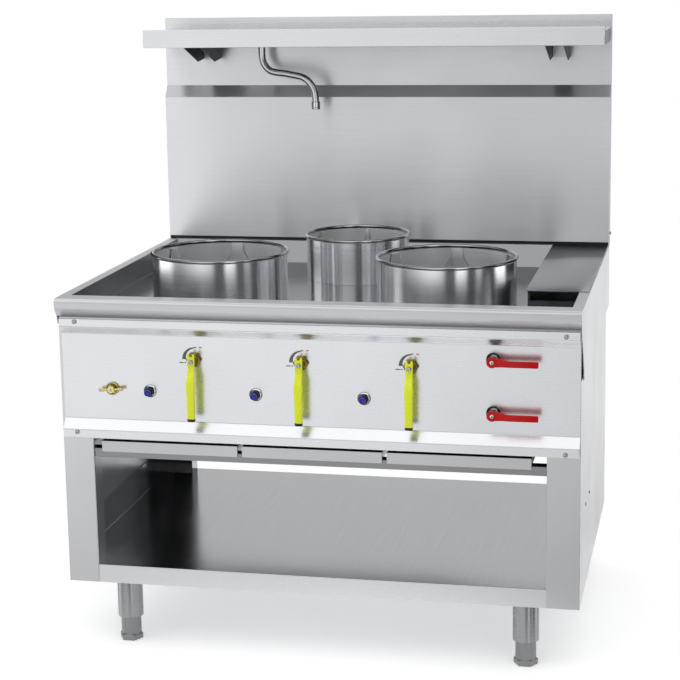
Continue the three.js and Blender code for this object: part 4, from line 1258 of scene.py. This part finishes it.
@dataclass
class WaterControl:
    """A water valve behind its domed rosette, and its red lever."""

    name: str
    z: float
    rosette: float = 16.6
    hub: float = 12.0

    def build(self) -> None:
        """Builds the valve and the lever."""
        self.valve()
        self.lever()

    def valve(self) -> None:
        """Builds the valve's block behind the panel, its stem and its rosette."""
        place = at(WATER_X, PANEL_FACE, self.z)
        out, half = place @ TO_COOK, WATER_BODY
        valve = Blank().block((-half, 2, -half), (half, 46, half), place)
        valve.lathe([
            (0, -3), (9, -3), (9, 16), (7.5, 18), (5.2, 18), (5, 23.6), (4.4, 24), (0, 24),
        ], out, 40)
        dome = [(self.rosette * math.cos(math.radians(a)), 1.5 + 9.5 * math.sin(math.radians(a)))
                for a in range(0, 66, 8)]
        valve.lathe([(0, 0), *dome, (8.0, 10.6), (0, 10.6)], out, 64)
        node = f"water_valve_{self.name}"
        fit(valve.mesh(f"{node}_body", 0.5), CHROME_PAINTED_DARK, node, slot="chrome")

    def lever(self) -> None:
        """Builds the lever's hub and arm, and its screw with a brass core."""
        rider, hub = f"water_lever_{self.name}", self.hub
        place = at(WATER_X, STEM_FRONT - 0.3, self.z)
        out = place @ TO_COOK
        arm = Blank().lathe([
            (0, 0), (hub - 0.8, 0), (hub, 0.8), (hub, 5.6), (hub - 0.9, 6.5), (5.4, 6.5), (5.2, 6.0),
            (0, 6.0),
        ], out)
        grip_y, sag = -10.25, -1.4
        stations = [
            (0, -3.2, 0, 10.6, 3.0), (8, -3.2, 0, 10.4, 3.0), (16, -3.6, -0.3, 9.6, 3.1),
            (23, -5.0, -0.8, 8.5, 3.2), (30, -8.0, -1.2, 7.6, 3.25), (37, -10.1, sag, 7.2, 3.25),
            (60, grip_y, sag, 7.1, 3.25), (99.6, grip_y, sag, 7.1, 3.25),
            (101.2, grip_y, sag, 6.6, 2.8), (101.8, grip_y, sag, 5.6, 2.0),
        ]
        arm.skin(Axis.X, stations, place, 5.0)
        fit(arm.mesh(f"{rider}_arm"), RED, rider, body=rider, slot="red_sleeve")
        screw = Blank().lathe([
            (0, 5.5), (4.9, 5.5), (4.9, 6.9), (4.2, 7.9), (2.2, 8.1), (1.9, 7.0), (0, 7.0),
        ], out, 32)
        fit(screw.mesh(f"{rider}_screw"), CHROME, body=rider, slot="chrome")
        core = Blank().lathe([(0, 6.6), (1.9, 6.6), (1.9, 7.3), (0, 7.5)], out, 24)
        fit(core.mesh(f"{rider}_core"), BRASS, body=rider, slot="brass")


@dataclass
class PilotTap:
    """The brass pilot tap with its wing handle."""

    flange: float = 15.5
    wing_half: float = 29.0
    wing_back: float = 9.3  # how far the wing stands in front of the panel
    wing_rise: float = 0.06  # slope of the wing, which stands a little askew

    def build(self) -> None:
        """Builds the tap's body and its wing."""
        self.body()
        self.wing()

    def body(self) -> None:
        """Builds the block behind the panel and the turned flange in front."""
        place = at(PILOT_X, PANEL_FACE, PILOT_Z)
        half, f = PILOT_BODY, self.flange
        body = Blank().block((-half, 2, -half), (half, 45, half), place)
        body.lathe([
            (0, -3), (6.8, -3), (6.8, 0), (f - 0.8, 0), (f, 0.8), (f, 4.6), (f - 1, 5.8), (f - 2, 6),
            (f - 3.2, 5.4), (f - 4, 2.4), (5.2, 2.4), (5, 8.6), (4.4, 9), (0, 9),
        ], place @ TO_COOK, 56)
        fit(body.mesh("pilot_tap_body", 0.4), TAP_BRASS, "pilot_tap", slot="brass")

    def wing(self) -> None:
        """Builds the two-sided handle with its white disc and blue eye."""
        rider = "pilot_tap_wing"
        place = at(PILOT_X, PANEL_FACE - self.wing_back, PILOT_Z)
        out = place @ TO_COOK
        wing = Blank().lathe([
            (0, 0), (8.2, 0), (9, 0.8), (9, 4.6), (7.8, 6), (4.6, 6), (4.2, 5.4), (0, 5.4),
        ], out, 40)
        stations = ((4, 3.4, 2.2), (9, 2.6, 2.0), (14, 2.9, 2.1), (19, 3.8, 2.6), (24, 4.2, 2.9),
                    (27.6, 3.5, 2.6), (self.wing_half, 2.2, 1.8))
        for side in (-1, 1):
            blade = [(side * reach, -3, self.wing_rise * reach * side, high, thick)
                     for reach, high, thick in stations]
            wing.skin(Axis.X, blade, place, 2.6, 24)
        fit(wing.mesh(f"{rider}_handle"), TAP_BRASS, rider, body=rider, slot="brass")
        disc = Blank().lathe([(0, 5), (3.6, 5), (3.6, 6.4), (2.8, 7.2), (1.3, 7.4), (0, 7.4)], out, 24)
        fit(disc.mesh(f"{rider}_disc"), WHITE, body=rider, slot="chrome")
        eye = Blank().lathe([(0, 7.2), (1.3, 7.2), (1.1, 7.8), (0, 7.9)], out, 20)
        fit(eye.mesh(f"{rider}_eye"), BLUE, body=rider, slot="blue_button")


@dataclass
class Runs:
    """Gas and water pipes behind the panel and up the wall, with swept bends."""

    gas_radius: float = 10.0
    gas_y: float = 42.0
    gas_z: float = 764.0
    gas_inlet_x: float = 440.0
    water_radius: float = 7.0
    water_y: float = 39.0
    supply_x: float = 472.0
    supply_z: float = 668.0
    riser_x: float = 455.0
    riser_y: float = 918.3
    rear: float = 927.0
    socket: tuple[float, float] = (1368.0, 1396.0)

    def inlet(self, pipe: Blank, radius: float, x: float, z: float) -> None:
        """Ends a pipe at the rear with a chamfered hexagon.

        Args:
            pipe: The pipe.
            radius: The hexagon's radius at its corners.
            x: Where it stands, from the left.
            z: Its height.
        """
        levels = ((18, 0.93), (16.6, 1), (1.4, 1), (0, 0.93))
        pipe.nut(radius, levels, at(x, self.rear, z) @ TO_COOK)

    def gas(self) -> None:
        """Sweeps the manifold with its drops to the pilot tap and the three valves."""
        x, y, z = self.gas_inlet_x, self.gas_y, self.gas_z
        pipe = Blank().tube(bent([(PILOT_X - 10, y, z), (x, y, z), (x, self.rear - 1, z)], 26),
                            self.gas_radius, FROM_EDGE)
        pipe.tube([Vector((PILOT_X, y, low)) for low in (PILOT_Z + PILOT_BODY, z)], 6, FROM_EDGE)
        for bay in GAS_XS:
            pipe.tube([Vector((bay, y, low)) for low in (GAS_Z + GAS_BODY, z)], 8, FROM_EDGE)
        self.inlet(pipe, 17, x, z)
        fit(pipe.mesh("gas_manifold_pipe"), PIPE_PAINT, "gas_manifold", slot="cast_iron")

    def water(self) -> None:
        """Sweeps the supply pipe and the short pipe between the two water valves."""
        x, y, z = self.supply_x, self.water_y, self.supply_z
        pipe = Blank().tube(bent([(WATER_X, y, z), (x, y, z), (x, self.rear - 1, z)], 20),
                            self.water_radius, FROM_EDGE)
        ends = (WATER_ZS["lower"] + WATER_BODY, WATER_ZS["upper"] - WATER_BODY)
        pipe.tube([Vector((WATER_X, y, end)) for end in ends], self.water_radius, FROM_EDGE)
        self.inlet(pipe, 12, x, z)
        fit(pipe.mesh("water_supply_tube"), TUBE_STEEL, "water_supply_pipe", slot="polished_steel")

    def riser(self) -> None:
        """Sweeps the pipe up the wall and turns the spout's socket at its end."""
        low, high = self.socket
        y, z, middle = self.riser_y, WATER_ZS["upper"], (low + high) / 2
        line = [(WATER_X + WATER_BODY, self.water_y, z), (self.riser_x, self.water_y, z),
                (self.riser_x, y, z), (SPOUT_X, y, z), (SPOUT_X, y, middle), (SPOUT_X, SPOUT_Y, middle)]
        pipe = Blank().tube(bent(line, 18), self.water_radius, FROM_EDGE)
        pipe.lathe([
            (9.3, low), (13, low), (14, low + 1), (14, low + 8), (13.2, low + 9), (14, low + 10),
            (14, high - 2), (12, high), (0, high), (0, low + 14.6), (9.3, low + 14.6),
        ], at(SPOUT_X, SPOUT_Y, 0), closed=True)
        fit(pipe.mesh("riser_tube"), CHROME, "riser_pipe", slot="chrome")

    def build(self) -> None:
        """Builds the three runs."""
        self.gas()
        self.water()
        self.riser()


@dataclass
class Trays:
    """Three pull-out drip trays and the rail that they rest on."""

    names: tuple[str, ...] = ("left", "middle", "right")

    def build(self) -> None:
        """Folds and dresses the trays and the rail."""
        # Painted shade: the rail is drawn in the darker steel.
        fold_sheet("tray_rail", PAINTED_SHADE_DIM)
        for name in self.names:
            fold_sheet(f"drip_tray_{name}", TRAY_STEEL, f"drip_tray_{name}")


@dataclass
class BackWall:
    """The backsplash, the shelf along its top and the two brackets under the shelf."""

    hands: tuple[str, ...] = ("left", "right")

    def build(self) -> None:
        """Folds and dresses the wall, shelf and brackets."""
        wall = fold_sheet("backsplash", WALL_STEEL)
        # Painted shade on the step under the shelf.
        mark(wall, STEP_PAINTED_SHADE, lambda centre, normal: normal.y < -0.3 and normal.z > 0.2)
        shelf = fold_sheet("shelf", PANEL_STEEL)
        mark(shelf, SIDE_STEEL, lambda centre, normal: normal.x > 0.7)
        for hand in self.hands:
            # Painted shade: each bracket is drawn black, but for its steel front edges.
            bracket = fold_sheet(f"shelf_bracket_{hand}", BRACKET_PAINTED_SHADE)
            mark(bracket, RIM_STEEL, lambda centre, normal: normal.y < -0.95)
            map_grain(bracket, RIM_STEEL.grain)


@dataclass
class Spout:
    """The chromed swivel spout under the shelf, with its nozzle."""

    swing: float = -13.0
    bend: float = 26.0
    reach: float = 156.0
    fall: float = 72.0
    arm_fall: float = 16.0
    nozzle_fall: float = 168.0
    engagement: float = 14.0
    radius: float = 9.2
    nozzle_radius: float = 11.4
    nozzle_length: float = 20.0

    def line(self, socket: float) -> Loop:
        """Draws the spout's centre line.

        Args:
            socket: Height of the socket's lower end.

        Returns:
            Points of a smooth line through the spout's stations.
        """
        low = socket - self.fall
        stations = [Vector(p) for p in (
            (0, 0, socket + self.engagement - 1),
            (0, 0, socket),
            (0.12 * self.bend, 0, low + self.bend),
            (0.85 * self.bend, 0, low + 0.15 * self.bend),
            (self.reach / 2, 0, low - self.arm_fall / 3),
            (self.reach - 1.2 * self.bend, 0, low - self.arm_fall),
            (self.reach - 0.23 * self.bend, 0, low - self.arm_fall - self.bend),
            (self.reach, 0, socket - self.nozzle_fall + self.nozzle_length),
            (self.reach, 0, socket - self.nozzle_fall + self.nozzle_length / 5),
        )]
        ends = [2 * stations[0] - stations[1], *stations, 2 * stations[-1] - stations[-2]]
        line = []
        for a, b, c, d in zip(ends, ends[1:], ends[2:], ends[3:]):
            t0, t1 = 0.0, math.sqrt((b - a).length)
            t2 = t1 + math.sqrt((c - b).length)
            t3 = t2 + math.sqrt((d - c).length)
            for i in range(12):
                t = t1 + (t2 - t1) * i / 12
                ab = a.lerp(b, (t - t0) / (t1 - t0))
                bc = b.lerp(c, (t - t1) / (t2 - t1))
                cd = c.lerp(d, (t - t2) / (t3 - t2))
                abc = ab.lerp(bc, (t - t0) / (t2 - t0))
                bcd = bc.lerp(cd, (t - t1) / (t3 - t1))
                line.append(abc.lerp(bcd, (t - t1) / (t2 - t1)))
        line.append(stations[-1])
        return line

    def build(self) -> None:
        """Sweeps the spout and turns its nozzle."""
        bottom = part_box("spout")[0].z / MM
        socket = bottom + self.nozzle_fall
        place = at(SPOUT_X, SPOUT_Y, 0) @ Matrix.Rotation(math.radians(self.swing), 4, "Z")
        pipe = Blank().tube(self.line(socket), self.radius, place, 32)
        tip = place @ Matrix.Translation((self.reach, 0, bottom))
        r, length = self.nozzle_radius, self.nozzle_length
        pipe.lathe([
            (0, length / 2), (r - 2.5, length / 2), (r - 2, 0.6), (r - 1.4, 0), (r - 0.6, 0), (r, 0.8),
            (r, 4), (r - 0.6, 4.6), (r, 5.2), (r, length - 1), (r - 1, length), (0, length),
        ], tip, 40)
        fit(pipe.mesh("spout_tube"), CHROME, "spout", body="spout", slot="chrome")


@dataclass
class Studio:
    """Camera, floor and light: a white tent with grey and dark boards round it."""

    focal: float = 1793.9441  # px on a picture 680 px wide
    picture: float = 680.0
    sensor: float = 36.0
    place: tuple[float, float, float] = (0.894271, -4.243158, 1.603073)
    yaw: float = 0.2140
    tilt: float = 0.1833
    roll: float = -0.0170
    shift: float = -0.08
    aim: tuple[float, float, float] = (0.0, 0.0, 0.8)  # where the lamps look
    floor_radius: float = 3.4
    floor_steps: int = 96
    board_peak: float = 1.5  # the brightest board, and below it the brightest height
    height_peak: float = 1.3

    def camera(self) -> None:
        """Stands the camera at the photograph's place and angle."""
        data = bpy.data.cameras.new("camera")
        data.sensor_width = self.sensor
        data.lens = self.focal / self.picture * self.sensor
        data.shift_y = self.shift
        data.clip_start, data.clip_end = 0.1, 100.0
        ahead = Vector((
            -math.sin(self.yaw) * math.cos(self.tilt), math.cos(self.yaw) * math.cos(self.tilt),
            -math.sin(self.tilt),
        ))
        level = Vector((math.cos(self.yaw), math.sin(self.yaw), 0))
        up = level.cross(ahead)
        c, s = math.cos(self.roll), math.sin(self.roll)
        right, top = c * level + s * up, c * up - s * level
        made = linked("camera", data)
        turn = Matrix((right, top, -ahead)).transposed().to_4x4()
        made.matrix_world = Matrix.Translation(self.place) @ turn
        bpy.context.scene.camera = made

    def floor(self) -> None:
        """Lays a pale floor that fades out round the range."""
        radius = self.floor_radius / MM
        rim = [(x, y, 0) for x, y in oval(radius, radius, self.floor_steps)]
        disc = Blank().loft([[(0, 0, 0)], rim])
        disc.faces = disc.faces[:self.floor_steps]  # without the cap under the fan
        floor = disc.mesh("studio_floor")
        material = bpy.data.materials.new("studio_floor_pale")
        tree = empty_tree(material)
        coords = add_node(tree, "ShaderNodeTexCoord")
        length = add_node(tree, "ShaderNodeVectorMath", {0: coords.outputs["Object"]},
                          operation="LENGTH")
        fade = add_node(tree, "ShaderNodeMapRange", {
            "Value": length.outputs["Value"], "From Min": 0.6, "From Max": 1.15,
        }, interpolation_type="SMOOTHSTEP")
        pale = add_node(tree, "ShaderNodeBsdfDiffuse", {"Color": linear("f4f4f4")})
        glow = add_node(tree, "ShaderNodeEmission", {"Color": linear("ffffff"), "Strength": 0.35})
        lit = add_node(tree, "ShaderNodeAddShader", {0: pale.outputs[0], 1: glow.outputs[0]})
        clear = add_node(tree, "ShaderNodeBsdfTransparent")
        mixed = add_node(tree, "ShaderNodeMixShader", {
            0: fade.outputs["Result"], 1: lit.outputs[0], 2: clear.outputs[0],
        })
        add_node(tree, "ShaderNodeOutputMaterial", {"Surface": mixed.outputs[0]})
        floor.data.materials.append(material)

    def tent(self) -> None:
        """Lights the range from all round; the camera itself sees plain white."""
        world = bpy.data.worlds.new("studio_tent")
        bpy.context.scene.world = world
        tree = empty_tree(world)
        coords = add_node(tree, "ShaderNodeTexCoord")
        split = add_node(tree, "ShaderNodeSeparateXYZ", {"Vector": coords.outputs["Generated"]})
        toward = add_node(tree, "ShaderNodeMath", {0: split.outputs["Y"], 1: -1.0},
                          operation="MULTIPLY")
        azimuth = add_node(tree, "ShaderNodeMath", {0: split.outputs["X"], 1: toward.outputs[0]},
                           operation="ARCTAN2")
        around = add_node(tree, "ShaderNodeMapRange", {
            "Value": azimuth.outputs[0], "From Min": -math.pi, "From Max": math.pi,
        })
        # The boards' levels by azimuth in degrees, with 0 at the cook and +90 at the range's right
        boards = [(-180, 0.9), (-162, 0.9), (-154, 0.03), (-112, 0.06), (-103, 1.5), (-78, 1.5),
                  (-66, 0.5), (-48, 0.7), (-20, 0.95), (-10, 0.88), (-2, 0.75), (2, 0.6), (8, 0.05),
                  (20, 0.03), (26, 1.3), (38, 1.3), (44, 0.04), (54, 0.04), (58, 0.8), (64, 0.8),
                  (70, 0.02), (90, 0.02), (98, 1.5), (114, 1.5), (122, 0.02), (152, 0.02), (162, 0.9),
                  (180, 0.9)]
        bands = add_node(tree, "ShaderNodeValToRGB", {"Fac": around.outputs["Result"]},
                         [((a + 180) / 360, level / self.board_peak) for a, level in boards])
        upward = add_node(tree, "ShaderNodeMapRange", {
            "Value": split.outputs["Z"], "From Min": -1.0, "From Max": 1.0,
        })
        # The tent's levels by the height of the direction, from straight down to straight up
        ramp = [(-1, 0.75), (-0.45, 0.6), (-0.36, 0.72), (-0.29, 1.08), (-0.22, 1.25), (-0.13, 1.2),
                (-0.04, 1.05), (0.08, 0.85), (0.3, 0.6), (0.5, 0.75), (0.66, 1.3), (0.86, 1.3),
                (0.94, 0.6), (1, 0.55)]
        heights = add_node(tree, "ShaderNodeValToRGB", {"Fac": upward.outputs["Result"]},
                           [((z + 1) / 2, level / self.height_peak) for z, level in ramp])
        slope = add_node(tree, "ShaderNodeMath", {0: split.outputs["Z"]}, operation="ABSOLUTE")
        near = add_node(tree, "ShaderNodeMapRange", {
            "Value": slope.outputs[0], "From Min": 0.45, "From Max": 0.65, "To Min": 1.0, "To Max": 0.0,
        })
        banded = add_node(tree, "ShaderNodeMapRange", {
            "Value": near.outputs["Result"], "To Min": 1 / self.board_peak,
            "To Max": bands.outputs["Color"],
        })
        level = add_node(tree, "ShaderNodeMath", {
            0: banded.outputs["Result"], 1: heights.outputs["Color"],
        }, operation="MULTIPLY")
        strength = add_node(tree, "ShaderNodeMath", {
            0: level.outputs[0], 1: self.board_peak * self.height_peak,
        }, operation="MULTIPLY")
        path = add_node(tree, "ShaderNodeLightPath")
        seen = add_node(tree, "ShaderNodeMapRange", {
            "Value": path.outputs["Is Camera Ray"], "To Min": strength.outputs[0], "To Max": 1.0,
        })
        back = add_node(tree, "ShaderNodeBackground", {
            "Color": linear("ffffff"), "Strength": seen.outputs[0],
        })
        add_node(tree, "ShaderNodeOutputWorld", {"Surface": back.outputs[0]})

    def flag(self) -> None:
        """Stands dark flags behind the range: the cabinet's inside mirrors them at the left."""
        for name, low, high, colour in (
            ("low", (-1100, 1300, 0), (60, 2400, 10), "060606"),
            ("rear", (-1100, 2400, 0), (200, 4200, 10), "040404"),
            ("black", (1500, 8000, 700), (2300, 8010, 4200), "040404"),
            ("grey", (2300, 8000, 700), (3300, 8010, 4200), "68686a"),
        ):
            made = Blank().block(low, high).mesh(f"studio_flag_{name}", 1.0)
            cloth = bpy.data.materials.new(made.name)
            tree = empty_tree(cloth)
            weave = add_node(tree, "ShaderNodeBsdfPrincipled", {
                "Base Color": linear(colour), "Roughness": 1.0, "Specular IOR Level": 0.0,
            })
            add_node(tree, "ShaderNodeOutputMaterial", {"Surface": weave.outputs["BSDF"]})
            made.data.materials.append(cloth)
            made.visible_camera = False
            made.visible_shadow = False

    def lamps(self) -> None:
        """Hangs two soft boxes, one over the front and one at the left."""
        for name, spot, power, size in (
            ("box_over", (0.3, -1.6, 3.4), 14.0, 2.6),
            ("box_left", (-3.2, -2.4, 2.4), 8.0, 2.2),
        ):
            data = bpy.data.lights.new(name, "AREA")
            data.shape = "SQUARE"
            data.energy = power
            data.size = size
            made = linked(name, data)
            made.location = spot
            made.visible_glossy = False
            ahead = Vector(self.aim) - Vector(spot)
            made.rotation_euler = ahead.to_track_quat("-Z", "Y").to_euler()

    def build(self) -> None:
        """Sets the studio up."""
        self.camera()
        self.floor()
        self.tent()
        self.flag()
        self.lamps()
        bpy.context.scene.view_settings.view_transform = "Standard"


def main() -> None:
    """Builds the studio and the range's sub-assemblies in order."""
    logging.basicConfig(level=logging.INFO, format="%(message)s")
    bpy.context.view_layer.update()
    assemblies = [
        Studio(), Cabinet(), Legs(), Worktop(), ControlPanel(), Runs(), Trays(), BackWall(), Spout(),
        PilotTap(), *(WaterControl(name, z) for name, z in WATER_ZS.items()),
        *(GasControl(name, x) for name, x in zip(HOLES, GAS_XS)),
        *map(WokRing, HOLES), *map(Burner, HOLES),
    ]
    for assembly in assemblies:
        assembly.build()
        log.info("built %s", type(assembly).__name__)


if __name__ == "__main__":
    main()
